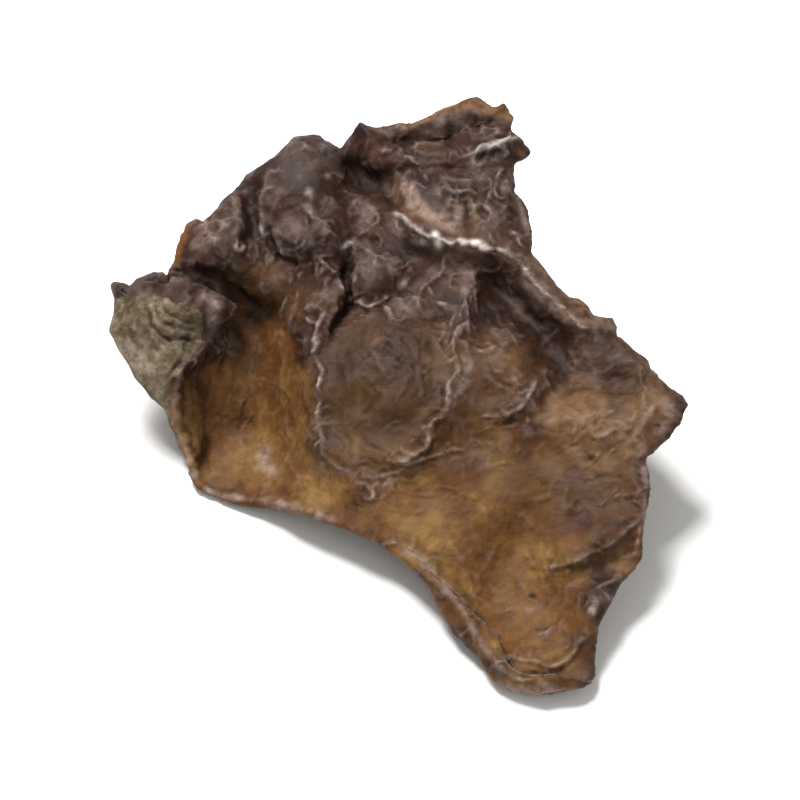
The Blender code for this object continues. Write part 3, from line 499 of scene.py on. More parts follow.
# The torn and crumpled margin as it is seen, clockwise from the top
OUTLINE = (
    (6.8, 26.9), (7.6, 26.3), (8.3, 26.1), (8.9, 26.2), (9.3, 26.6), (9.7, 26), (9.9, 25.6),
    (10.2, 25.2), (10, 24.6), (9.9, 24), (10.4, 23.5), (10.8, 23.3), (11.1, 22.7), (11.7, 22.1),
    (11.2, 21.6), (10.4, 21.3), (10.1, 20.9), (10.2, 19.9), (10.3, 18.5), (11, 17.6), (11.4, 16.8),
    (11.6, 15.8), (11.7, 14.4), (11.7, 13.2), (12.3, 12.4), (13.5, 11.1), (14.7, 9.7), (15.4, 8.8),
    (15.8, 8.9), (16.5, 8.6), (17, 7.8), (17.4, 7.4), (18.3, 7.4), (18.9, 7.2), (19.2, 6.5),
    (19.3, 5.7), (20.5, 5), (21.8, 3.9), (22.3, 2.6), (23.8, 1.4), (24.9, 0.5), (25.9, -0.4),
    (25.2, -1.9), (24.4, -2.8), (24.1, -3.5), (23.2, -4.1), (22.7, -4.8), (22.1, -5.2),
    (22.3, -6.6), (22.3, -8.1), (22, -10), (21.7, -12), (21.6, -14), (20.8, -15.3), (19.7, -16.4),
    (19, -17.8), (18.2, -19.3), (17.7, -20.2), (17.7, -21.8), (17.4, -23.8), (16.9, -25.4),
    (16.4, -26.1), (15, -26.5), (12.9, -26.8), (10.9, -26.6), (9.2, -26.1), (8, -25.1), (7, -23.9),
    (6, -22.1), (4.9, -20.8), (4, -19.6), (2.9, -17.7), (2, -16.3), (1, -15.1), (0, -14.1),
    (-1, -13.4), (-2.5, -12.5), (-4, -12), (-6, -11.2), (-8, -10.5), (-10, -10), (-12, -9.5),
    (-13, -9.3), (-13.6, -9.7), (-14.2, -9.7), (-15, -9.1), (-15.6, -9.2), (-16, -9.4),
    (-16.6, -8.8), (-17.2, -8.4), (-18, -8.2), (-18.7, -7.2), (-19.2, -5.9), (-19.6, -4.2),
    (-20.1, -2.8), (-20.5, -1.9), (-21.1, -0.8), (-22.2, 0.1), (-23, 1.3), (-23.8, 2.6),
    (-24.4, 3.5), (-25, 4.7), (-25.8, 6.3), (-25.3, 7.7), (-25, 9), (-25.4, 10.3), (-24.7, 10.5),
    (-24.1, 10.2), (-23.4, 10.8), (-21.9, 11.2), (-20.7, 11), (-20.3, 12.1), (-20, 13.4),
    (-19.7, 14.6), (-19.1, 15.6), (-18.2, 16.1), (-17.5, 15.7), (-16.8, 16.4), (-16.1, 17.4),
    (-15, 18.5), (-14.1, 19.6), (-13.3, 20.3), (-12.2, 21.2), (-11.4, 21.6), (-10.5, 22.4),
    (-9.6, 23.2), (-8.6, 23.6), (-7.2, 23.5), (-6.2, 22.9), (-5.4, 22.2), (-5, 22.4), (-4.6, 23.3),
    (-4.1, 24.3), (-3.6, 24.9), (-2.9, 24.4), (-1, 24.4), (1, 24.6), (2.5, 25.3), (4, 25.9),
    (5.6, 26.6),
)

# Where the fine wrinkles are weak
CALM = (
    ((0.5, 24.6), (4, 26.5), (7, 27.5), (12, 27), (12.5, 21), (12.5, 12.5), (8, 14.2), (4.5, 14.6),
     (1.5, 16), (0, 19)),
    ((-18.4, 10), (-14.6, 10.4), (-14, 8), (-14.2, 5.4), (-16.4, 4.2), (-18.4, 4.4), (-17.8, 7)),
    ((-12, 22), (-9, 24.5), (-5, 23.4), (-5.2, 20), (-7.6, 17.6), (-11, 18.6)),
    ((15, -14.4), (18, -12.6), (22, -10.4), (22.6, -14), (20, -17), (18.4, -20), (16, -19.6),
     (15.4, -16)),
    ((-15, 11.8), (-12.4, 12.4), (-9.8, 11.6), (-8.2, 9.8), (-7.8, 8), (-11, 7.6), (-13.6, 9.4)),
)

# Where sharp creases of the fold are rounded off
SOFTENED = (
    ((1.6, -13.4), (4.6, -15.6), (7.4, -18), (9.6, -21.4), (11.4, -23.4), (13.4, -23.8),
     (13.4, -25.6), (9.6, -25.4), (7.4, -22.6), (4.6, -18.2), (1.4, -14.6)),
    ((15, -13.4), (18, -12.6), (21.2, -11.6), (21.2, -15), (18.6, -16.2), (15, -16)),
)

# Which way the fine wrinkles run: places of the drawing, and angles above the horizontal
GRAIN = (
    ((-12, 2), 84), ((-15, -3), 70), ((-13, -8), -12), ((-6, -9), -20), ((-1, -11), -30),
    ((6, -17), -56), ((12, -16), 70), ((12, -23), 10), ((16, -20), 60), ((16, -11), 30),
    ((20, -8), 12), ((19, -3), 14), ((16, 2), 6), ((20, 3), -30), ((15, 8), -42), ((8, 13), -20),
    ((10, 5), -50), ((5, 3), 82), ((-1, 2), 70), ((-6, 4), 88), ((-2, 11), 100), ((3, 10), -60),
    ((-10, 14), 60), ((-9, 20), 40), ((-15, 14), 62), ((-17, 12), 20), ((-3, 18), -60),
    ((3, 17), -50), ((8, 18), 95), ((3, 22), -14), ((6, 25), 16), ((3, -2), 50), ((2, -7), 10),
    ((9, -6), 30), ((10, -11), 50), ((-22, 6), -60), ((-20, 7), -10),
)

# Fine streaks of the wing, the channel, the lobe, the domes and the flaps
FANS = (
    Fan(((13, -0.6), (15, -6)), ((23.4, -0.4), (22.4, -1.6)), 9, 0.26, 0.05, 0.4),
    Fan(((-14.6, 7), (-9.6, 5.6)), ((-17, -6.6), (-9, -8.6)), 7, 0.3, 0.07, 0.12),
    Fan(((2, -9), (12, -8)), ((8, -20), (15, -18)), 6, 0.3, 0.07, 0.15),
    Fan(((15, -4), (14, -9)), ((21, -5), (21, -11)), 7, 0.26, 0.06, 0.25),
    Fan(((-3.4, 6), (3.4, 6.4)), ((-4.6, -3.6), (2.6, -2.6)), 7, 0.26, 0.1, 0.25),
    Fan(((-18.6, 14.5), (-14.6, 12)), ((-14, 19.5), (-10.6, 21.5)), 5, 0.3, 0.12, 0.3),
    Fan(((7.2, 8.6), (6.4, 0)), ((12.6, 6.2), (11, 1)), 5, 0.28, 0.1, 0.3),
    Fan(((3.2, 20), (9.6, 20.4)), ((4.6, 15.4), (10.6, 14.2)), 7, 0.26, 0.14, 0.35),
    Fan(((1.2, 23.2), (9, 24)), ((2.2, 25), (8.6, 25.8)), 6, 0.24, 0.1, 0.2),
)


def smoothstep(value: np.ndarray, low: float, high: float) -> np.ndarray:
    """Ease from 0 where a number is at low to 1 where it is at high."""
    t = np.clip((value - low) / (high - low), 0.0, 1.0)
    return t * t * (3.0 - 2.0 * t)


def clamped(value: float) -> float:
    """Keep a number between 0 and 1."""
    return max(0.0, min(1.0, value))


def bell(distance: np.ndarray, width: np.ndarray) -> np.ndarray:
    """Fall smoothly from 1 at no distance to 0.37 at the width."""
    return np.exp(-((distance / width) ** 2))


def along(path: Sequence[Point], step: float = 0.35) -> np.ndarray:
    """Lay points close together on a smooth curve through a path.

    Args:
        path: points that the curve passes through.
        step: rough distance between the points, in mm.

    Returns:
        The points, one row each.
    """
    p = np.array(path, float)
    p = np.vstack([2 * p[0] - p[1], p, 2 * p[-1] - p[-2]])
    rows = []
    for a, b, c, d in zip(p[:-3], p[1:-2], p[2:-1], p[3:]):
        count = max(2, int(np.linalg.norm(c - b) / step) + 1)
        t = np.linspace(0, 1, count, endpoint=False)[:, None]
        rows.append(0.5 * (2 * b + (c - a) * t + (2 * a - 5 * b + 4 * c - d) * t**2
                           + (3 * b - a - 3 * c + d) * t**3))
    return np.vstack([*rows, p[-2:-1]])


def near(points: np.ndarray, curve: np.ndarray,
         reach: float) -> tuple[np.ndarray, np.ndarray, np.ndarray]:
    """Find the points near a curve.

    Args:
        points: points of the drawing, one row each.
        curve: points of the curve.
        reach: how far to look, in mm.

    Returns:
        Indices of the points in reach, their distances, and their places along the curve in mm.
    """
    low, high = curve.min(0) - reach, curve.max(0) + reach
    found = np.flatnonzero(((points > low) & (points < high)).all(1))
    p = points[found]
    best = np.full(len(found), np.inf)
    place = np.zeros(len(found))
    run = 0.0
    for a, b in zip(curve[:-1], curve[1:]):
        span = b - a
        length = float(np.linalg.norm(span))
        if length < TINY:
            continue
        t = np.clip(((p - a) @ span) / length**2, 0, 1)
        d = np.linalg.norm(p - a - t[:, None] * span, axis=1)
        closer = d < best
        best[closer] = d[closer]
        place[closer] = run + t[closer] * length
        run += length
    keep = best < reach
    return found[keep], best[keep], place[keep]


def inside_depth(points: np.ndarray, outline: Sequence[Point]) -> np.ndarray:
    """Measure how far points lie inside an outline.

    Args:
        points: points of the drawing, one row each.
        outline: corners of the closed outline.

    Returns:
        Distance to the outline in mm, negative outside it.
    """
    corners = np.array(outline, float)
    best = np.full(len(points), np.inf)
    within = np.zeros(len(points), bool)
    for a, b in zip(corners, np.roll(corners, -1, axis=0)):
        span = b - a
        t = np.clip(((points - a) @ span) / (span @ span), 0, 1)
        best = np.minimum(best, np.linalg.norm(points - a - t[:, None] * span, axis=1))
        crosses = (a[1] > points[:, 1]) != (b[1] > points[:, 1])
        where = a[0] + (points[:, 1] - a[1]) * span[0] / (span[1] if span[1] else TINY)
        within ^= crosses & (points[:, 0] < where)
    return np.where(within, best, -best)


def turned(points: np.ndarray, angle: object) -> tuple[np.ndarray, np.ndarray]:
    """Places of points along and across a direction, given in radians."""
    u, v = points.T
    return u * np.cos(angle) + v * np.sin(angle), v * np.cos(angle) - u * np.sin(angle)


def walked(start: Point, turn: float, bends: Sequence[float], step: float) -> list[Point]:
    """Walk over the drawing in equal steps, turning before each.

    Args:
        start: where the walk begins.
        turn: first direction above the horizontal in radians.
        bends: turn before each step in radians.
        step: length of a step in mm.

    Returns:
        The points on the way.
    """
    path = [tuple(start)]
    for bend in bends:
        turn += bend
        x, y = path[-1]
        path.append((x + step * math.cos(turn), y + step * math.sin(turn)))
    return path


def grain_angle(points: np.ndarray) -> np.ndarray:
    """Find which way the fine wrinkles run.

    Args:
        points: points of the drawing, one row each.

    Returns:
        Angles above the horizontal in radians.
    """
    places = np.array([place for place, _ in GRAIN], float)
    doubled = np.radians([2.0 * angle for _, angle in GRAIN])
    apart = ((points[:, None, :] - places[None]) ** 2).sum(2)
    weight = 1.0 / (apart + 1.0) ** 1.5
    return 0.5 * np.arctan2(weight @ np.sin(doubled), weight @ np.cos(doubled))


def drift(points: np.ndarray, size: float, layer: float) -> np.ndarray:
    """Smooth random shift of each point, in waves of a size in mm."""
    return np.array([noise.noise_vector(Vector((u / size, v / size, layer)))[:2]
                     for u, v in points])


def beats(places: np.ndarray, size: float, row: float, layer: float) -> np.ndarray:
    """Smooth random numbers from about -1 to 1 at places along a line."""
    return np.array([noise.noise(Vector((place / size, row, layer))) for place in places])


def fold(place: Vector, steepness: float) -> float:
    """Height of a crumpled pattern: 1 on its crests, lower to both sides of them."""
    return 1.0 - steepness * abs(noise.noise(place))


def lift(masks: Masks, mask: Mask, values: np.ndarray, at: object = slice(None)) -> None:
    """Raise a mask to new values where these are higher, at all points or some."""
    masks[mask][at] = np.maximum(masks[mask][at], values)


def read(rows: object, name: str, width: int, kind: type = float) -> np.ndarray:
    """Read one property of all rows of a mesh.

    Args:
        rows: the points, edges or faces.
        name: name of the property.
        width: count of numbers in each row.
        kind: type of the numbers.

    Returns:
        The numbers, one row each.
    """
    out = np.empty(len(rows) * width, kind)
    rows.foreach_get(name, out)
    return out.reshape(-1, width)


def linear(hex_colour: str) -> tuple[float, float, float, float]:
    """Turn an sRGB hex colour to linear.

    Args:
        hex_colour: six hex digits.

    Returns:
        Red, green, blue and 1 for alpha.
    """
    parts = [int(hex_colour[i:i + 2], 16) / 255 for i in (0, 2, 4)]
    values = [c / 12.92 if c <= 0.04045 else ((c + 0.055) / 1.055) ** 2.4 for c in parts]
    return (*values, 1.0)


def per_metre(size: float) -> float:
    """Texture scale of a pattern whose cells are size mm wide, on coordinates in metres."""
    return 1.0 / (size * MM)


@dataclass(frozen=True)
class Brush:
    """Adds the nodes of one material."""

    material: bpy.types.Material  # the material

    @classmethod
    def blank(cls, name: str) -> "Brush":
        """Make a material with no nodes, by name.

        Args:
            name: name of the material.

        Returns:
            Its brush.
        """
        made = bpy.data.materials.new(name)
        made.use_nodes = True
        made.node_tree.nodes.clear()
        return cls(made)

    def node(self, kind: str, settings: Optional[dict] = None,
             **links: object) -> bpy.types.Node:
        """Add a shader node with its settings and links.

        Args:
            kind: type name of the node.
            settings: properties of the node by name.
            links: for each input, by name with spaces as underscores or by in and its number,
                a value or the output socket to link.

        Returns:
            The node.
        """
        tree = self.material.node_tree
        made = tree.nodes.new(kind)
        for name, value in (settings or {}).items():
            setattr(made, name, value)
        for name, value in links.items():
            numbered = name.startswith("in") and name[2:].isdigit()
            socket = made.inputs[int(name[2:]) if numbered else name.replace("_", " ")]
            if isinstance(value, Socket):
                tree.links.new(value, socket)
            else:
                socket.default_value = value
        return made

    def ramp(self, value: Socket, low: float, high: float, tones: Sequence[str]) -> Socket:
        """Colour a value by tones.

        Args:
            value: the value.
            low: where the first tone lies.
            high: where the last tone lies.
            tones: hex colours, spaced evenly from low to high.

        Returns:
            The colour.
        """
        made = self.node("ShaderNodeValToRGB", Fac=value)
        elements = made.color_ramp.elements
        while len(elements) < len(tones):
            elements.new(0.5)
        for element, place, tone in zip(elements, np.linspace(low, high, len(tones)), tones):
            element.position = place
            element.color = linear(tone)
        return made.outputs["Color"]

    def mix(self, share: object, below: object, above: object, blend: str = "MIX") -> Socket:
        """Lay one colour over another.

        Args:
            share: how much of the lower colour is covered, 0 to 1.
            below: the lower colour.
            above: the upper colour, or its hex tone.
            blend: name of the way they are blended.

        Returns:
            The colour.
        """
        above = linear(above) if isinstance(above, str) else above
        return self.node("ShaderNodeMix", {"data_type": "RGBA", "blend_type": blend},
                         in0=share, in6=below, in7=above).outputs[2]

    def math(self, operation: str, *values: object) -> Socket:
        """Do sums with values, and clamp the result from 0 to 1."""
        return self.node("ShaderNodeMath", {"operation": operation, "use_clamp": True},
                         **{f"in{i}": v for i, v in enumerate(values)}).outputs[0]

    def spanned(self, value: Socket, before: Pair, after: Pair) -> Socket:
        """Carry a value from the range before to the range after."""
        return self.node("ShaderNodeMapRange", Value=value, From_Min=before[0],
                         From_Max=before[1], To_Min=after[0], To_Max=after[1]).outputs[0]


@dataclass(frozen=True)
class Eye:
    """Camera that the drawing lies square to."""

    # The point that it looks at, in metres
    aim: tuple[float, float, float] = (0.00038, 0.00014, 0.0082)
    elevation: float = 45.0  # its height above the horizon in degrees
    distance: float = 0.375  # from the camera to the point, in metres
    lens: float = 189.0  # focal length in mm
    sensor: float = 36.0  # width of the sensor in mm
    # Nearest and furthest distance that it shows, in metres
    clip: tuple[float, float] = (0.01, 20.0)

    def axes(self) -> tuple[np.ndarray, np.ndarray, np.ndarray]:
        """Work out the directions of the drawing.

        Returns:
            Unit vectors to the right, up the drawing and towards the eye.
        """
        e = math.radians(self.elevation)
        toward = np.array([0.0, -math.cos(e), math.sin(e)])
        up = np.array([0.0, math.sin(e), math.cos(e)])
        return np.array([1.0, 0.0, 0.0]), up, toward

    def place(self) -> np.ndarray:
        """Where the camera stands, in metres."""
        return np.array(self.aim) + self.axes()[2] * self.distance

    def drawn(self, points: np.ndarray) -> np.ndarray:
        """Carry points along the eye's rays onto the drawing.

        Args:
            points: points in metres, one row each.

        Returns:
            Their u and v in mm, one row each.
        """
        right, up, toward = self.axes()
        rel = points - np.array(self.aim)
        scale = self.distance / (self.distance - rel @ toward)
        return np.stack([rel @ right * scale, rel @ up * scale], axis=1) / MM

    def make(self) -> None:
        """Add the camera and make it the scene's own."""
        spot = Vector(self.place())
        look = (Vector(self.aim) - spot).to_track_quat("-Z", "Y")
        bpy.ops.object.camera_add(location=spot, rotation=look.to_euler())
        camera = bpy.context.object
        camera.name = "eye"
        camera.data.lens = self.lens
        camera.data.sensor_width = self.sensor
        camera.data.clip_start, camera.data.clip_end = self.clip
        bpy.context.scene.camera = camera


@dataclass(frozen=True)
class DriedEarFinish:
    """Skin of an air-dried wood ear, a jelly fungus.

    The inner side dried from a smooth gel to a thin horn: dark purple-brown, half clear and amber
    where it is thin, with a low waxy gloss and pale dust on its crests, which also bear a painted
    highlight. Painted shade lies in its hollows, and a painted glow of light through the thin
    flesh at some margins. The outer side is a grey-beige felt of short hairs, quite matt. All
    patterns are sized in real mm.
    """

    # Dark, middle and light tone of each
    horn: Tones = ("26140d", "3a2319", "503525")
    amber: Tones = ("522c13", "704a22", "8c6835")
    felt: Tones = ("6f6049", "8d7d65", "aa9b84")
    # Tone of each tint: tan, pale dust with painted highlight, painted shade, painted highlight,
    # and painted glow of light through thin flesh
    tan: str = "7c5a3a"
    dust_and_highlight: str = "a39188"
    shade: str = "1d0e08"
    chalk: str = "f0e6d8"
    glow: str = "80501c"
    # Tones of the felt's net, on its lines and inside its cells
    cell_tones: tuple[str, str] = ("ffffff", "b9b2a8")
    # Tones that darken the felt in broad patches
    fold_tones: tuple[str, str] = ("8c8275", "ffffff")
    # Tones that darken the whole skin in small flecks
    fleck_tones: Tones = ("6e6864", "bcbcbc", "ffffff")
    # Width in mm of each pattern
    mottle_size: float = 5.0
    fleck_size: float = 0.9
    wrinkle_size: float = 1.1
    grain_size: float = 0.28
    mesh_size: float = 1.5
    warp_size: float = 2.2
    warp_reach: float = 1.2  # how far the felt's net is bent, in mm
    # Strength of those tones
    net_share: float = 0.25
    fold_share: float = 0.8
    fleck_share: float = 0.55
    wrinkle_pale_share: float = 0.04  # strength of the pale dust and painted highlight on the wrinkle pattern's crests
    shade_share: float = 0.97  # strength of the shade at its fullest
    dust_and_highlight_matt: float = 0.7  # how matt the skin is under full pale dust and painted highlight
    gloss_roughness: tuple[float, float] = (0.46, 0.66)  # lowest and highest roughness of the horn
    felt_roughness: float = 0.92  # roughness of the felt
    # Strength, and depth in mm, of the soft and the fine bumps
    bump_strength: tuple[float, float] = (0.55, 0.5)
    bump_depth: tuple[float, float] = (0.12, 0.05)
    wrinkle_bump: float = 0.6  # share of the wrinkle pattern in the soft bumps
    # Bending of light and level of the gloss
    gel_ior: float = 1.45
    gel_sheen: float = 0.16

    def patterns(self, brush: Brush) -> dict[str, Socket]:
        """Add the patterns that the colours and bumps are made from.

        Args:
            brush: the brush of the material.

        Returns:
            Each pattern by name.
        """
        place = brush.node("ShaderNodeTexCoord").outputs["Object"]

        def cloud(size: float, detail: float, roughness: float, output: str = "Fac",
                  settings: Optional[dict] = None, distortion: float = 0.0) -> Socket:
            """Add a cloudy pattern whose clouds are size mm wide."""
            return brush.node("ShaderNodeTexNoise", settings, Vector=place,
                              Scale=per_metre(size), Detail=detail, Roughness=roughness,
                              Distortion=distortion).outputs[output]

        ridged = {"noise_type": "RIDGED_MULTIFRACTAL", "normalize": True}
        warp = brush.node("ShaderNodeVectorMath", {"operation": "MULTIPLY_ADD"},
                          in0=cloud(self.warp_size, 2.0, 0.5, "Color"),
                          in1=(self.warp_reach * MM,) * 3, in2=place).outputs[0]
        cells = brush.node("ShaderNodeTexVoronoi", {"feature": "DISTANCE_TO_EDGE"},
                           Vector=warp, Scale=per_metre(self.mesh_size)).outputs["Distance"]
        return {"mottle": cloud(self.mottle_size, 5.0, 0.6),
                "fleck": cloud(self.fleck_size, 6.0, 0.65),
                "wrinkle": cloud(self.wrinkle_size, 4.0, 0.5, settings=ridged, distortion=0.6),
                "grain": cloud(self.grain_size, 3.0, 0.7),
                "cells": cells}

    def coloured(self, brush: Brush, pattern: dict[str, Socket],
                 masks: dict[Mask, Socket]) -> Socket:
        """Build up the colour from the felt and the horn to the painted highlight on top.

        Args:
            brush: the brush of the material.
            pattern: each pattern by name.
            masks: value of each mask.

        Returns:
            The colour.
        """
        mottle, fleck = pattern["mottle"], pattern["fleck"]
        felt = brush.ramp(fleck, 0.3, 0.7, self.felt)
        net = brush.ramp(pattern["cells"], 0.0, 0.3, self.cell_tones)
        felt = brush.mix(self.net_share, felt, net, "MULTIPLY")
        folds = brush.ramp(mottle, 0.35, 0.6, self.fold_tones)
        felt = brush.mix(self.fold_share, felt, folds, "MULTIPLY")
        horn = brush.ramp(mottle, 0.32, 0.68, self.horn)
        amber = brush.ramp(mottle, 0.3, 0.7, self.amber)
        colour = brush.mix(masks[Mask.AMBER], horn, amber)
        # tan, painted glow of light through thin flesh, and the felt of the outer side
        for mask, above in ((Mask.TAN, self.tan), (Mask.GLOW, self.glow), (Mask.FELT, felt)):
            colour = brush.mix(masks[mask], colour, above)
        light = brush.ramp(fleck, 0.3, 0.7, self.fleck_tones)
        colour = brush.mix(self.fleck_share, colour, light, "MULTIPLY")
        ridges = brush.ramp(pattern["wrinkle"], 0.25, 0.75, ("000000", "ffffff"))
        patchy = brush.spanned(fleck, (0.36, 0.6), (0.3, 1.0))
        # pale dust with its painted highlight, more of it on the wrinkle crests, then painted
        # shade
        for share, amount, tone in ((masks[Mask.DUST_AND_HIGHLIGHT], patchy, self.dust_and_highlight),
                                    (ridges, self.wrinkle_pale_share, self.dust_and_highlight),
                                    (masks[Mask.SHADE], self.shade_share, self.shade)):
            share = brush.math("MULTIPLY", share, amount)
            colour = brush.mix(share, colour, tone)
        return brush.mix(masks[Mask.HIGHLIGHT], colour, self.chalk)

    def bumped(self, brush: Brush, pattern: dict[str, Socket]) -> Socket:
        """Add the soft and the fine bumps.

        Args:
            brush: the brush of the material.
            pattern: each pattern by name.

        Returns:
            The direction that the bumped surface faces.
        """
        height = brush.node("ShaderNodeMath", {"operation": "MULTIPLY_ADD"},
                            in0=pattern["wrinkle"], in1=self.wrinkle_bump, in2=pattern["fleck"])
        soft, fine = zip(self.bump_strength, self.bump_depth)
        below = brush.node("ShaderNodeBump", Height=height.outputs[0], Strength=soft[0],
                           Distance=soft[1] * MM).outputs[0]
        return brush.node("ShaderNodeBump", Height=pattern["grain"], Strength=fine[0],
                          Distance=fine[1] * MM, Normal=below).outputs[0]

    def material(self) -> bpy.types.Material:
        """Make the material.

        Returns:
            The material with colour, roughness and bump from its nodes.
        """
        brush = Brush.blank("dried_ear_skin")
        masks = {m: brush.node("ShaderNodeAttribute", {"attribute_name": m.value}).outputs["Fac"]
                 for m in Mask}
        pattern = self.patterns(brush)
        gloss = brush.spanned(pattern["fleck"], (0.3, 0.7), self.gloss_roughness)
        # skin under pale dust and painted highlight is made matt like the felt
        pale_matt = brush.math("MULTIPLY", masks[Mask.DUST_AND_HIGHLIGHT], self.dust_and_highlight_matt)
        matt = brush.math("MAXIMUM", masks[Mask.FELT], pale_matt)
        rough = brush.node("ShaderNodeMix", {"data_type": "FLOAT"}, in0=matt, in2=gloss,
                           in3=self.felt_roughness).outputs[0]
        shell = brush.node("ShaderNodeBsdfPrincipled", Roughness=rough,
                           Base_Color=self.coloured(brush, pattern, masks),
                           Normal=self.bumped(brush, pattern), IOR=self.gel_ior,
                           Specular_IOR_Level=self.gel_sheen)
        brush.node("ShaderNodeOutputMaterial", Surface=shell.outputs[0])
        return brush.material


@dataclass(frozen=True)
class TornMargin:
    """Fit of the margins that the eye sees against the floor to the drawn outline."""

    pitch: float = 0.1  # width in mm of a cell of the grid that the skin's shadow is laid on
    border: float = 3.0  # empty strip round the shadow in mm
    blur: int = 60  # rounds of blurring that show the way out of the shadow
    faint: float = 0.01  # slope of the blurred shadow below which that way isn't known
    inward: float = 1.4  # furthest pull inwards in mm
    outward: float = 1.6  # furthest push outwards in mm
    step: float = 0.05  # spacing of the places that are tried between them, in mm
    reach: float = 2.2  # how far in from the margin the fit fades out, in mm
    rim_count: int = 4  # number of rim points that a point of the skin follows
    floor_fade: tuple[float, float] = (0.6, 2.0)  # heights in mm between which the fit sets in

    def shadow(self, corners: np.ndarray) -> tuple[np.ndarray, np.ndarray]:
        """Lay the skin's shadow on a grid.

        Args:
            corners: u and v of the three corners of each face.

        Returns:
            Which cells lie in the shadow, and the grid's lowest corner.
        """
        low = corners.min((0, 1)) - self.border
        size = np.ceil((corners.max((0, 1)) + self.border - low) / self.pitch).astype(int)
        filled = np.zeros(size, bool)
        for weights in FACE_SPOTS:
            cells = ((np.einsum("fcx,c->fx", corners, weights) - low) / self.pitch).astype(int)
            filled[cells[:, 0], cells[:, 1]] = True
        return filled, low

    def rim(self, filled: np.ndarray, low: np.ndarray) -> tuple[np.ndarray, np.ndarray]:
        """Find the shadow's rim.

        Args:
            filled: which cells lie in the shadow.
            low: the grid's lowest corner.

        Returns:
            Points of the rim in mm, and directions that point outwards.
        """
        inner, blurred = filled.copy(), filled.astype(float)
        for axis, step in ((0, 1), (0, -1), (1, 1), (1, -1)):
            inner &= np.roll(filled, step, axis)
        for axis in (0, 1) * self.blur:
            blurred = (np.roll(blurred, 1, axis) + np.roll(blurred, -1, axis) + 2 * blurred) / 4
        cells = np.argwhere(filled & ~inner)
        outward = np.stack(np.gradient(-blurred), axis=2)[cells[:, 0], cells[:, 1]]
        strength = np.linalg.norm(outward, axis=1)
        clear = strength > self.faint
        points = low + (cells[clear] + 0.5) * self.pitch
        return points, outward[clear] / strength[clear, None]

    def pull(self, rim: np.ndarray, outward: np.ndarray) -> np.ndarray:
        """Find how far each point of the rim lies from the drawn outline.

        Args:
            rim: points of the rim.
            outward: directions that point outwards.

        Returns:
            The move that is needed in mm, negative for inwards.
        """
        pull = np.zeros(len(rim))
        for step in np.arange(-self.inward, self.outward, self.step):
            pull[inside_depth(rim + step * outward, OUTLINE) > 0] = step
        close = np.abs(inside_depth(rim, OUTLINE)) < self.outward
        return np.where(close, pull, 0.0)

    def shift(self, drawn: np.ndarray, faces: np.ndarray) -> np.ndarray:
        """Work out how far each point moves on the drawing.

        Args:
            drawn: u and v of each point.
            faces: indices of each face's corners.

        Returns:
            Moves along u and v in mm, one row each.
        """
        rim, outward = self.rim(*self.shadow(drawn[faces]))
        pull = self.pull(rim, outward)
        tree = KDTree(len(rim))
        for i, (u, v) in enumerate(rim):
            tree.insert((u, v, 0.0), i)
        tree.balance()
        shift = np.zeros((len(drawn), 2))
        for i, (u, v) in enumerate(drawn):
            _, rows, gaps = zip(*tree.find_n((u, v, 0.0), self.rim_count))
            if gaps[0] > self.reach:
                continue
            rows = list(rows)
            weight = np.array([1.0 / (gap + self.pitch) ** 2 for gap in gaps])
            fade = 1.0 - gaps[0] / self.reach
            move = (weight[:, None] * pull[rows, None] * outward[rows]).sum(0) / weight.sum()
            shift[i] = move * fade * fade * (3.0 - 2.0 * fade)
        return shift


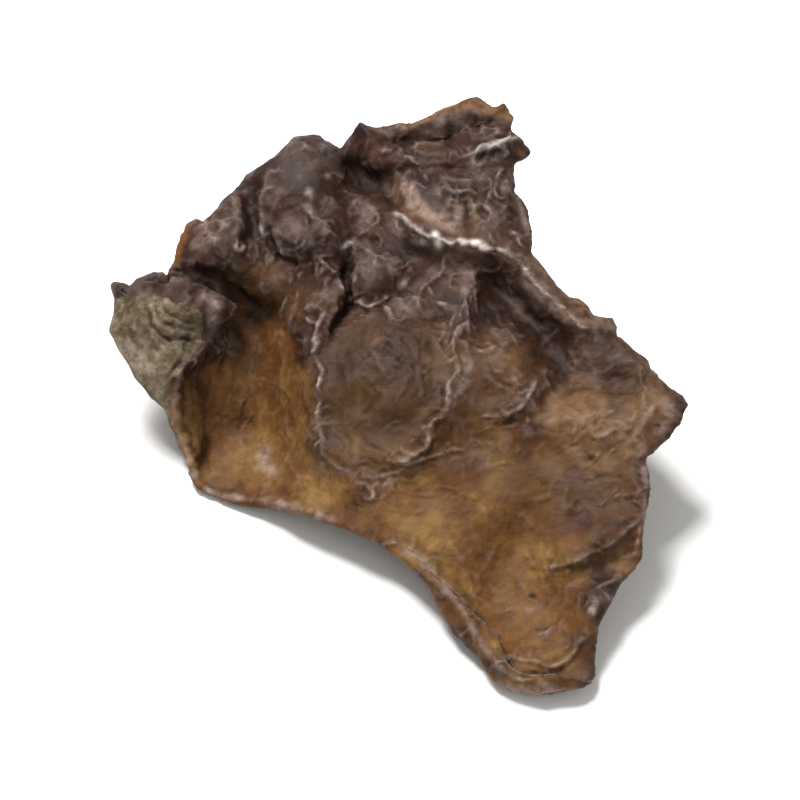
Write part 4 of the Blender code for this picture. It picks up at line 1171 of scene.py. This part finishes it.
@dataclass(frozen=True)
class FineVeins:
    """Short thin veins at random places. Pairs of numbers are the lowest and highest value."""

    seed: int  # start of the random draws
    streak_jitter: float = 0.3  # how unevenly the streaks of a fan are spaced
    streak_share: float = 0.35  # least length of a streak, as a share of its fan
    streak_stray: float = 0.35  # how far a streak's points stray to its sides, in mm
    twig_least_pale: float = 0.5  # pale dust and painted highlight that a vein needs to bear side branches
    twig_share: float = 0.4  # how many steps of such a vein bear one
    twig_turn: Pair = (0.4, 1.3)  # angle between a branch and its vein, in radians
    twig_length: Pair = (0.5, 1.6)  # length of a branch in mm
    twig_width: Pair = (0.2, 0.34)  # width of a branch in mm
    twig_rise: Pair = (0.3, 0.8)  # its height as a share of its vein's
    twig_pale_share: Pair = (0.4, 0.9)  # its pale dust and painted highlight as a share of its vein's
    twig_bend: float = 0.35  # usual bend between its steps, in radians
    # Lowest and highest u and v of the short wrinkles
    wisp_box: tuple[Point, Point] = ((-22, -26), (24, 27))
    wisp_count: int = 220  # number of short wrinkles
    wisp_length: Pair = (1.6, 5.0)  # their length in mm
    wisp_width: Pair = (0.16, 0.26)  # their width in mm
    wisp_rise: Pair = (0.05, 0.13)  # their height or depth in mm
    wisp_tint: Pair = (0.1, 0.5)  # pale dust and painted highlight on the raised ones, painted shade in the grooves
    wisp_bend: float = 0.12  # usual bend between their steps, in radians
    wisp_turn: float = 0.3  # usual angle to the grain, in radians
    groove_share: float = 0.4  # how many of them are grooves

    def streaks(self) -> list[Vein]:
        """Draw the fine streaks of every fan.

        Returns:
            One vein for each streak.
        """
        draw = np.random.default_rng(self.seed)
        made = []
        for fan in FANS:
            (a, b), (c, d) = np.array(fan.starts, float), np.array(fan.ends, float)
            for i in range(fan.count):
                jitter = draw.uniform(-self.streak_jitter, self.streak_jitter)
                share = (i + 0.5 + jitter) / fan.count
                start, end = a + (b - a) * share, c + (d - c) * share
                first, last = sorted(draw.uniform(0, 1, 2))
                last = min(max(last, first + self.streak_share), 1.0)
                side = np.array([start[1] - end[1], end[0] - start[0]])
                side /= np.linalg.norm(end - start)
                rows = [start + (end - start) * t + side * draw.normal(0, self.streak_stray)
                        for t in np.linspace(first, last, STREAK_POINTS)]
                made.append(Vein([tuple(r) for r in rows], fan.width, fan.rise, fan.dust_and_highlight))
        return made

    def twigs(self) -> list[Vein]:
        """Draw short side branches along the veins with pale dust and painted highlight.

        Returns:
            One vein for each branch.
        """
        draw = np.random.default_rng(self.seed + 2)
        made = []
        for vein in VEINS:
            if vein.rise <= 0 or vein.dust_and_highlight < self.twig_least_pale:
                continue
            curve = along(vein.path)
            way = np.gradient(curve, axis=0)
            for spot, run in zip(curve[1:-1], way[1:-1]):
                if draw.uniform() > self.twig_share:
                    continue
                turn = math.atan2(run[1], run[0])
                turn += draw.choice((-1, 1)) * draw.uniform(*self.twig_turn)
                step = draw.uniform(*self.twig_length) / TWIG_STEPS
                path = walked(spot, turn, draw.normal(0, self.twig_bend, TWIG_STEPS), step)
                width = draw.uniform(*self.twig_width)
                rise = vein.rise * draw.uniform(*self.twig_rise)
                made.append(Vein(path, width, rise, vein.dust_and_highlight * draw.uniform(*self.twig_pale_share)))
        return made

    def wisps(self) -> list[Vein]:
        """Draw short fine wrinkles at random places along the grain.

        Returns:
            One vein for each wrinkle.
        """
        draw = np.random.default_rng(self.seed + 1)
        made = []
        spots = draw.uniform(*self.wisp_box, (self.wisp_count, 2))
        for spot in spots[inside_depth(spots, CALM[0]) < 0]:
            length, bend = draw.uniform(*self.wisp_length), draw.normal(0, self.wisp_bend)
            width, rise = draw.uniform(*self.wisp_width), draw.uniform(*self.wisp_rise)
            dust_and_highlight = draw.uniform(*self.wisp_tint)
            groove = draw.uniform() < self.groove_share
            turn = float(grain_angle(spot[None])[0]) + draw.normal(0, self.wisp_turn)
            path = walked(spot, turn, [bend] * WISP_STEPS, length / WISP_STEPS)
            tint = (-rise, 0.0, dust_and_highlight) if groove else (rise, dust_and_highlight)
            made.append(Vein(path, width, *tint))
        return made

    def drawn(self) -> list[Vein]:
        """Draw all side branches, streaks and short wrinkles."""
        return [*self.twigs(), *self.streaks(), *self.wisps()]


@dataclass
class VeinRelief:
    """Heights and tints of the drawn veins."""

    masks: Masks  # values of each mask, changed along the veins
    height: np.ndarray  # height of each point in mm
    rise: float = 0.75  # how much of their drawn height the veins get
    width: float = 0.66  # how much of their drawn width the veins get
    wander: float = 0.4  # how far they stray from their drawn paths, in mm
    fine_wander: float = 0.45  # share of the quick stray in it
    knot_step: float = 0.2  # spacing along a vein of the numbers that make it uneven, in mm
    beat_size: float = 0.8  # length of its uneven stretches in mm
    beat_row: float = 7.3  # how far apart the patterns of two veins lie
    # Middle, swing, lowest and highest strength along a vein
    strength: Swing = (0.65, 1.8, 0.05, 1.3)
    darkness: Swing = (0.85, 0.6, 0.2, 1.0)  # the same for the painted shade of a groove
    side_place: float = 1.8  # where the sunk strip beside a vein lies, in widths of the vein
    side_width: float = 0.8  # its width, in the same way
    side_depth: float = 0.3  # its depth as a share of the vein's height
    side_shade: float = 0.6  # its painted shade as a share of the vein's pale dust and painted highlight
    line_width: float = 0.6  # width of the pale dust and painted highlight on a vein, in widths of the vein
    thin: float = 0.3  # width in mm below which a vein is faint on clear flesh
    thin_loss: float = 0.75  # how much of its tints it loses there
    crest_size: float = 0.7  # length of the uneven stretches of the crest's rim in mm
    crest_dust_and_highlight: float = 0.75  # pale dust and painted highlight on it
    crest_highlight: float = 0.5  # painted highlight on it
    # Middle, swing, lowest and highest strength of that painted highlight
    highlight_swing: Swing = (0.7, 1.0, 0.15, 1.0)

    def uneven(self, beat: np.ndarray, swing: Swing) -> np.ndarray:
        """Turn numbers from -1 to 1 to strengths: middle, swing, lowest and highest."""
        middle, reach, low, high = swing
        return np.clip(middle + reach * beat, low, high)

    def add(self, vein: Vein, number: int, bent: np.ndarray) -> None:
        """Add one vein.

        Args:
            vein: the vein.
            number: its number, which picks its uneven stretches.
            bent: u and v of each point, with the stray of the vein.
        """
        curve = along(vein.path)
        found, distance, place = near(bent, curve, vein.width * 3)
        if not len(found):
            return
        whole = float(np.linalg.norm(np.diff(curve, axis=0), axis=1).sum())
        ends = smoothstep(np.minimum(place, whole - place), -0.3, min(1.2, whole / 3))
        knots = np.arange(0.0, whole + 2 * self.knot_step, self.knot_step)
        waves = beats(knots, self.beat_size, number * self.beat_row, 0.5)
        beat = np.interp(place, knots, waves)
        strength = ends * self.uneven(vein.stray * beat, self.strength)
        width = vein.width * self.width * (1.0 + 0.5 * beat)
        core = bell(distance, width)
        sides = bell(distance - self.side_place * width, self.side_width * width) * strength
        profile = (0.5 + 0.5 * strength) * (core - self.side_depth * sides)
        self.height[found] += self.rise * vein.rise * ends * profile
        line = bell(distance, self.line_width * width) * strength
        dark = vein.shade * core * ends * self.uneven(beat, self.darkness)
        if vein.width < self.thin:
            clear = 1.0 - self.thin_loss * self.masks[Mask.AMBER][found]
            line, dark = line * clear, dark * clear
        # pale dust with painted highlight along the vein, painted shade in a groove and beside a
        # ridge
        lift(self.masks, Mask.DUST_AND_HIGHLIGHT, vein.dust_and_highlight * line, found)
        lift(self.masks, Mask.SHADE, dark, found)
        if vein.rise > 0:
            lift(self.masks, Mask.SHADE, self.side_shade * vein.dust_and_highlight * sides, found)

    def add_crest(self, bent: np.ndarray) -> None:
        """Add the pale rim of the crest, with pale dust and a painted highlight along it.

        Args:
            bent: u and v of each point, with the full stray.
        """
        found, distance, place = near(bent, along(CREST.path), CREST.width * 3)
        beat = beats(place, self.crest_size, 3.1, 8.5)
        core = bell(distance, CREST.width * (1 + 0.6 * beat))
        self.height[found] += CREST.rise * core
        low, high = (smoothstep(place, *ends) for ends in HIGHLIGHT_ENDS)
        chalk = (0.25 + 0.75 * low) * (1.0 - 0.9 * high)
        chalk *= self.crest_highlight * core**1.5 * self.uneven(beat, self.highlight_swing)
        lift(self.masks, Mask.DUST_AND_HIGHLIGHT, self.crest_dust_and_highlight * core * (1 + beat), found)
        lift(self.masks, Mask.HIGHLIGHT, chalk, found)

    def build(self, drawn: np.ndarray, fine: Sequence[Vein]) -> None:
        """Add all veins and the crest.

        Args:
            drawn: u and v of each point.
            fine: the veins drawn at random.
        """
        waver = drift(drawn, 1.7, 4.2) + self.fine_wander * drift(drawn, 0.6, 9.1)
        waver *= self.wander
        for number, vein in enumerate([*VEINS, *fine]):
            self.add(vein, number, drawn + vein.stray * waver)
        self.add_crest(drawn + waver)


@dataclass(frozen=True)
class Crumpling:
    """Lumps and wrinkles that cover the whole skin."""

    lump_size: float = 3.2  # width of the shallow lumps in mm
    lump_rise: float = 0.3  # their height in mm
    # Their fall in height, their fall in size and their number of layers
    lump_layers: tuple[float, float, int] = (0.9, 2.0, 2)
    net_size: float = 2.7  # spacing of the crests of the inner side in mm
    net_sharpness: float = 8.0  # how narrow the pale dust and painted highlight lie on those crests
    net_rise: float = 0.18  # their height in mm
    net_dust_and_highlight: float = 0.4  # how much pale dust and painted highlight they bear
    patch_size: float = 1.7  # width of the pale patches in mm
    patch_dust: float = 0.22  # how dusty they are
    crinkle_size: float = 1.2  # spacing of the fine wrinkles in mm
    crinkle_rise: float = 0.09  # their height in mm
    # Length, spacing and depth in mm of the wrinkles along the grain
    ripple_size: tuple[float, float, float] = (3.4, 0.95, 4.0)
    mesh_size: float = 1.6  # width of the felt side's net of wrinkles in mm
    mesh_rise: float = 0.045  # their height in mm
    # How far each pattern is bent, and over what width, in mm
    bends: tuple[Pair, Pair] = ((0.8, 2.4), (0.25, 0.7))

    def inner(self, place: Vector, bent: Vector, grained: Vector) -> tuple[float, float]:
        """Work out the wrinkles of the inner side at one point.

        Args:
            place: the point in mm.
            bent: the same, shifted at random.
            grained: its place along, across and off the grain, in wrinkles.

        Returns:
            Height in mm, and pale dust with painted highlight.
        """
        crinkle = fold(bent / self.crinkle_size, 2.2)
        ripple = fold(grained + 0.35 * noise.noise_vector(place / 1.6), 2.2)
        patchy = clamped(0.45 + 2.4 * noise.noise(place / 2.9 + Vector((5, 0, 0))))
        broad = max(0.0, fold(bent / self.net_size, 2.4))
        small = max(0.0, fold(bent / (0.45 * self.net_size), 2.4))
        patch = clamped(2.6 * noise.noise(bent / self.patch_size) - 0.2)
        line = (broad**self.net_sharpness + 0.4 * small**self.net_sharpness) * patchy
        rise = self.net_rise * (broad**3 + 0.5 * small**3) * patchy
        rise += self.crinkle_rise * (0.6 * crinkle + 0.4 * ripple)
        return rise, self.net_dust_and_highlight * line + self.patch_dust * patch

    def outer(self, bent: Vector) -> float:
        """Height in mm of the felt's net of wrinkles at one point, shifted at random."""
        first, second = noise.voronoi(bent / self.mesh_size)[0][:2]
        return self.mesh_rise * (1.0 - min(1.0, (second - first) / 0.45))

    def crumpled(self, points: np.ndarray, drawn: np.ndarray, masks: Masks) -> np.ndarray:
        """Work out the height of every point, and add the pale dust and painted highlight on the
        wrinkles.

        Args:
            points: places of the points in metres.
            drawn: u and v of each point.
            masks: values of each mask, changed in place.

        Returns:
            Height of each point in mm.
        """
        felt = masks[Mask.FELT]
        height, dust_and_highlight = np.zeros(len(points)), np.zeros(len(points))
        long, short, deep = self.ripple_size
        run, side = turned(drawn, grain_angle(drawn))
        for i, p in enumerate(points / MM):
            place = bent = Vector(p)
            for far, size in self.bends:
                bent = bent + far * noise.noise_vector(place / size)
            lump = self.lump_rise * noise.fractal(place / self.lump_size, *self.lump_layers)
            if felt[i] < 0.99:
                grained = Vector((run[i] / long, side[i] / short, p[2] / deep))
                rise, dust_and_highlight[i] = self.inner(place, bent, grained)
                height[i] = (1 - felt[i]) * (lump + rise)
            if felt[i] > 0.01:
                height[i] += felt[i] * (lump + self.outer(bent))
        lift(masks, Mask.DUST_AND_HIGHLIGHT, dust_and_highlight * (1 - DUST_AND_HIGHLIGHT_LOSS * masks[Mask.AMBER]) * (1 - felt))
        return height


@dataclass
class EarSkin:
    """The whole mushroom as one closed skin."""

    eye: Eye  # the camera that the drawing lies square to
    weld: float = 0.01  # distance below which corners of the solid become one, in mm
    voxel: float = 0.21  # spacing of the skin's points in mm
    rounding: int = 3  # rounds of smoothing after the skin is laid
    triangles: int = 192000  # number left once the side that the eye can't see is thinned out
    softening: int = 40  # rounds of smoothing where creases are rounded off
    flesh: float = 3.0  # greatest thickness of the flesh in mm
    side_rounds: int = 240  # rounds in which the two sides are told apart
    waver: float = 2.4  # how far the borders of the widest tints stray, in mm
    fit_reach: float = 3.0  # how far in from the sides of its box the skin is fitted, in mm
    seed: int = 7  # start of the random draws
    skin: Optional[bpy.types.Object] = None  # the piece, once it is laid

    def pick(self, piece: bpy.types.Object) -> None:
        """Make a piece the only selected and active one.

        Args:
            piece: the piece.
        """
        bpy.ops.object.select_all(action="DESELECT")
        bpy.context.view_layer.objects.active = piece
        piece.select_set(True)

    def apply(self, kind: str, **settings: object) -> None:
        """Add a modifier to the skin and apply it.

        Args:
            kind: type name of the modifier.
            settings: its properties by name.
        """
        self.pick(self.skin)
        made = self.skin.modifiers.new(kind.lower(), kind)
        for name, value in settings.items():
            setattr(made, name, value)
        bpy.ops.object.modifier_apply(modifier=made.name)

    def points(self) -> np.ndarray:
        """Places of the skin's points in metres."""
        return read(self.skin.data.vertices, "co", 3)

    def normals(self) -> np.ndarray:
        """Directions that the skin's points face."""
        return read(self.skin.data.vertex_normals, "vector", 3, np.float32).astype(float)

    def edges(self) -> np.ndarray:
        """Indices of the two ends of each of the skin's edges."""
        return read(self.skin.data.edges, "vertices", 2, np.int32)

    def tree(self) -> BVHTree:
        """Search tree of the skin's faces."""
        return BVHTree.FromObject(self.skin, bpy.context.evaluated_depsgraph_get())

    def put(self, points: np.ndarray) -> None:
        """Put the skin's points at new places, in metres."""
        self.skin.data.vertices.foreach_set("co", points.ravel())
        self.skin.data.update()

    def copy(self) -> None:
        """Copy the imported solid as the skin, close its seams and take its marks off."""
        self.pick(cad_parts[NODE])
        bpy.ops.object.duplicate()
        skin = self.skin = bpy.context.object
        skin.name = skin.data.name = "dried_wood_ear"
        skin.parent = None
        for key in list(skin.keys()):
            del skin[key]
        skin.data.materials.clear()
        self.pick(skin)
        bpy.ops.object.mode_set(mode="EDIT")
        bpy.ops.mesh.select_all(action="SELECT")
        bpy.ops.mesh.remove_doubles(threshold=self.weld * MM)
        bpy.ops.object.mode_set(mode="OBJECT")

    def lay(self) -> None:
        """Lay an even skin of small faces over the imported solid."""
        self.copy()
        self.apply("SUBSURF", levels=2, render_levels=2)
        self.apply("REMESH", mode="VOXEL", voxel_size=self.voxel * MM)
        self.apply("SMOOTH", factor=0.5, iterations=self.rounding)
        self.apply("TRIANGULATE")
        share = self.triangles / len(self.skin.data.polygons)
        if share < 1:
            hidden = 1.0 - self.seen()
            group = self.skin.vertex_groups.new(name="hidden")
            for level in range(HIDDEN_LEVELS + 1):
                found = np.flatnonzero(np.round(hidden * HIDDEN_LEVELS) == level)
                group.add(found.tolist(), level / HIDDEN_LEVELS, "REPLACE")
            self.apply("DECIMATE", ratio=share, vertex_group="hidden", vertex_group_factor=1.0)
            self.skin.vertex_groups.clear()

    def tear(self) -> None:
        """Bring the margins that the eye sees against the floor onto the drawn outline.

        The whole depth of the skin moves along with the drawing, so nothing cuts through
        anything else. What is near the floor stays where it is.
        """
        margin = TornMargin()
        points = self.points()
        faces = read(self.skin.data.polygons, "vertices", 3, np.int32)
        shift = margin.shift(self.eye.drawn(points), faces)
        shift *= smoothstep(points[:, 2] / MM, *margin.floor_fade)[:, None]
        right, up, _ = self.eye.axes()
        self.put(points + (shift[:, :1] * right + shift[:, 1:] * up) * MM)

    def spread(self, values: np.ndarray, rounds: int) -> np.ndarray:
        """Average values with their neighbours over and over.

        Args:
            values: one row for each point.
            rounds: number of rounds.

        Returns:
            The averaged values.
        """
        a, b = self.edges().T
        count = len(values)
        met = np.bincount(a, minlength=count) + np.bincount(b, minlength=count)
        out = values.reshape(count, -1).astype(float)
        for _ in range(rounds):
            total = np.stack([np.bincount(a, out[b, i], count) + np.bincount(b, out[a, i], count)
                              for i in range(out.shape[1])], axis=1)
            out = 0.5 * out + 0.5 * total / met[:, None]
        return out.reshape(values.shape)

    def seen(self) -> np.ndarray:
        """Find how far each point is open to the eye.

        Returns:
            From 0 for hidden to 1 for open, with soft borders.
        """
        points, normals = self.points(), self.normals()
        rays = self.eye.place() - points
        rays /= np.linalg.norm(rays, axis=1)[:, None]
        facing = (normals * rays).sum(1)
        tree, open_to = self.tree(), np.zeros(len(points))
        starts = points + normals * SKIN_GAP * MM + rays * RAY_LEAD * MM
        for i in np.flatnonzero(facing > FACING[0]):
            hit = tree.ray_cast(Vector(starts[i]), Vector(rays[i]), RAY_LENGTH)[0]
            open_to[i] = hit is None
        return self.spread(open_to, 2) * smoothstep(facing, *FACING)

    def soften(self, drawn: np.ndarray, open_to: np.ndarray) -> None:
        """Round off the creases of the marked places.

        Args:
            drawn: u and v of each point.
            open_to: how open each point is to the eye.
        """
        points = self.points()
        smooth = self.spread(points, self.softening)
        for outline in SOFTENED:
            share = (smoothstep(inside_depth(drawn, outline), -0.2, 0.8) * open_to)[:, None]
            points = points * (1 - share) + smooth * share
        self.put(points)

    def partners(self) -> np.ndarray:
        """Find the point on the other face of the flesh for each point.

        Returns:
            Index of the point across, or its own where there is none.
        """
        points, normals = self.points(), self.normals()
        tree, partner = self.tree(), np.arange(len(points))
        for i, normal in enumerate(normals):
            start = Vector(points[i] - normal * SKIN_GAP * MM)
            hit, _, face, _ = tree.ray_cast(start, Vector(-normal), self.flesh * MM)
            if hit is not None:
                partner[i] = self.skin.data.polygons[face].vertices[0]
        return partner

    def outer_share(self, open_to: np.ndarray, marked: np.ndarray) -> np.ndarray:
        """Tell the felted outer side from the smooth inner one.

        What the eye sees is the inner side, except where the drawing marks felt. From there
        each side is followed along the skin, not round its sharp margins, and the two faces
        of the thin flesh are kept apart.

        Args:
            open_to: how open each point is to the eye.
            marked: where the drawing marks felt.

        Returns:
            From 0 on the inner side to 1 on the outer side.
        """
        normals, partner = self.normals(), self.partners()
        count = len(normals)
        opposed = (normals * normals[partner]).sum(1) < OPPOSED
        a, b = self.edges().T
        weight = np.exp(-SHARP_LOSS * (1.0 - (normals[a] * normals[b]).sum(1)))
        total = np.bincount(a, weight, count) + np.bincount(b, weight, count) + TINY
        known = open_to > 0.9
        seeds = np.where(marked > 0.5, -1.0, 1.0)
        side = np.where(known, seeds, 0.0)
        for _ in range(self.side_rounds):
            mean = np.bincount(a, weight * side[b], count)
            mean = (mean + np.bincount(b, weight * side[a], count)) / total
            side = np.where(opposed, 0.6 * mean - 0.4 * side[partner], mean)
            side = np.clip(np.where(known, seeds, side) * 1.02, -1.0, 1.0)
        return smoothstep(-self.spread(side, 2), -0.15, 0.35)

    def tinted(self, drawn: np.ndarray) -> Masks:
        """Lay the tinted fields and spots into masks.

        Args:
            drawn: u and v of each point.

        Returns:
            Values of each mask.
        """
        masks = {m: np.zeros(len(drawn)) for m in Mask}
        stray = self.waver * (drift(drawn, 3.0, 6.6) + 0.35 * drift(drawn, 0.8, 2.6))
        for mask, areas in AREAS.items():
            for area in areas:
                depth = inside_depth(drawn + min(1.0, area.feather) * stray, area.outline)
                lift(masks, mask, area.amount * smoothstep(depth, -area.feather, area.feather))
        for mask, spots in SPOTS.items():
            for spot in spots:
                x, y = turned(drawn - np.array(spot.at), math.radians(spot.turn))
                share = bell(x, spot.radii[0]) * bell(y, spot.radii[1])
                lift(masks, mask, share * spot.amount)
        return masks

    def shade(self, masks: Masks) -> None:
        """Add pale dust and painted highlight to what stands out, and painted shade to what lies
        deep.

        Args:
            masks: values of each mask, changed in place.
        """
        points, normals = self.points(), self.normals()
        for rounds, depth, dust_and_highlight, dark in SHADINGS:
            # painted highlight where the skin stands out, painted shade where it lies deep
            sunk = ((self.spread(points, rounds) - points) * normals).sum(1) / MM
            out, deep = (smoothstep(way * sunk, 0.25 * depth, 1.5 * depth) for way in (-1, 1))
            lift(masks, Mask.DUST_AND_HIGHLIGHT, dust_and_highlight * out * (1 - masks[Mask.AMBER] * DUST_AND_HIGHLIGHT_LOSS))
            lift(masks, Mask.SHADE, dark * deep)

    def fit(self) -> None:
        """Bring the skin's box onto the solid's by moving only what is near its sides."""
        low, high = (np.array(c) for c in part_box(NODE))
        points = self.points()
        own_low, own_high = points.min(0), points.max(0)
        reach = self.fit_reach * MM
        points += (low - own_low) * (1.0 - smoothstep(points - own_low, 0.0, reach))
        points += (high - own_high) * (1.0 - smoothstep(own_high - points, 0.0, reach))
        self.put(points)

    def build(self, finish: DriedEarFinish) -> bpy.types.Object:
        """Make the skin, its relief and its tints.

        Args:
            finish: the finish that dresses it.

        Returns:
            The finished piece.
        """
        noise.seed_set(self.seed)
        self.lay()
        self.tear()
        points, open_to = self.points(), self.seen()
        drawn = self.eye.drawn(points)
        self.soften(drawn, open_to)
        masks = self.tinted(drawn)
        veins = VeinRelief(masks, np.zeros(len(drawn)))
        veins.build(drawn, FineVeins(self.seed).drawn())
        felt = self.outer_share(open_to, masks[Mask.FELT])
        masks = {mask: values * open_to for mask, values in masks.items()}
        masks[Mask.FELT] = felt
        calm = np.max([smoothstep(inside_depth(drawn, o), -0.8, 0.8) for o in CALM], axis=0)
        crumpled = (0.35 + 0.65 * (1 - masks[Mask.AMBER])) * (1 - 0.6 * calm * open_to)
        height = veins.height * open_to + Crumpling().crumpled(points, drawn, masks) * crumpled
        self.put(self.points() + self.normals() * height[:, None] * MM)
        self.fit()
        self.shade(masks)
        for mask, values in masks.items():
            attribute = self.skin.data.attributes.new(mask.value, "FLOAT", "POINT")
            attribute.data.foreach_set("value", np.clip(values, 0, 1).astype(np.float32))
        self.pick(self.skin)
        bpy.ops.object.shade_smooth()
        self.skin.data.materials.append(finish.material())
        return self.skin


@dataclass(frozen=True)
class Lamp:
    """A square soft light."""

    name: str  # its name
    place: tuple[float, float, float]  # where it hangs, in metres
    size: float  # its side in metres
    power: float  # its power in watts


@dataclass
class Studio:
    """Pale floor and soft light."""

    floor_width: float = 3.0  # side of the square floor in metres
    floor_drop: float = 0.00004  # how far it lies below the object's lowest point, in metres
    floor_tone: str = "f4f3f1"  # colour of the floor
    floor_roughness: float = 0.9  # how matt it is
    sky: float = 0.44  # strength of the even light from all round
    # The main light from behind and the weak one in front
    lamps: tuple[Lamp, Lamp] = (Lamp("key", (-0.15, 0.18, 0.52), 0.2, 5.0),
                                Lamp("fill", (0.25, -0.4, 0.35), 0.4, 0.5))
    # The point that they shine at, in metres
    target: tuple[float, float, float] = (0.0, 0.0, 0.01)

    def floor(self) -> None:
        """Add the floor."""
        bpy.ops.object.select_all(action="DESELECT")
        place = (0, 0, -self.floor_drop)
        bpy.ops.mesh.primitive_plane_add(size=self.floor_width, location=place)
        floor = bpy.context.object
        floor.name = "table_top"
        paint = Brush.blank("matt_white_paint")
        shell = paint.node("ShaderNodeBsdfPrincipled", Base_Color=linear(self.floor_tone),
                           Roughness=self.floor_roughness)
        paint.node("ShaderNodeOutputMaterial", Surface=shell.outputs[0])
        floor.data.materials.append(paint.material)

    def light(self, lamp: Lamp) -> None:
        """Hang up a lamp that points at the target.

        Args:
            lamp: the lamp.
        """
        way = Vector(self.target) - Vector(lamp.place)
        turn = way.to_track_quat("-Z", "Y").to_euler()
        bpy.ops.object.light_add(type="AREA", location=lamp.place, rotation=turn)
        made = bpy.context.object
        made.name = made.data.name = lamp.name
        made.data.size = lamp.size
        made.data.energy = lamp.power

    def build(self) -> None:
        """Add the floor, the even light and the lamps."""
        self.floor()
        world = bpy.data.worlds.new("even_light")
        world.use_nodes = True
        sky = world.node_tree.nodes["Background"].inputs
        sky["Color"].default_value = (1.0, 1.0, 1.0, 1.0)
        sky["Strength"].default_value = self.sky
        bpy.context.scene.world = world
        for lamp in self.lamps:
            self.light(lamp)
        bpy.context.scene.view_settings.view_transform = "Standard"


def main() -> None:
    """Build the stage and the mushroom."""
    logging.basicConfig(level=logging.INFO, format="%(name)s: %(message)s")
    eye = Eye()
    eye.make()
    Studio().build()
    ear = EarSkin(eye).build(DriedEarFinish())
    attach(ear, BODY)
    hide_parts(NODE)
    faces = sum(len(p.vertices) - 2 for p in ear.data.polygons)
    log.info("%s: %d points, %d triangles", ear.name, len(ear.data.vertices), faces)


if __name__ == "__main__":
    main()
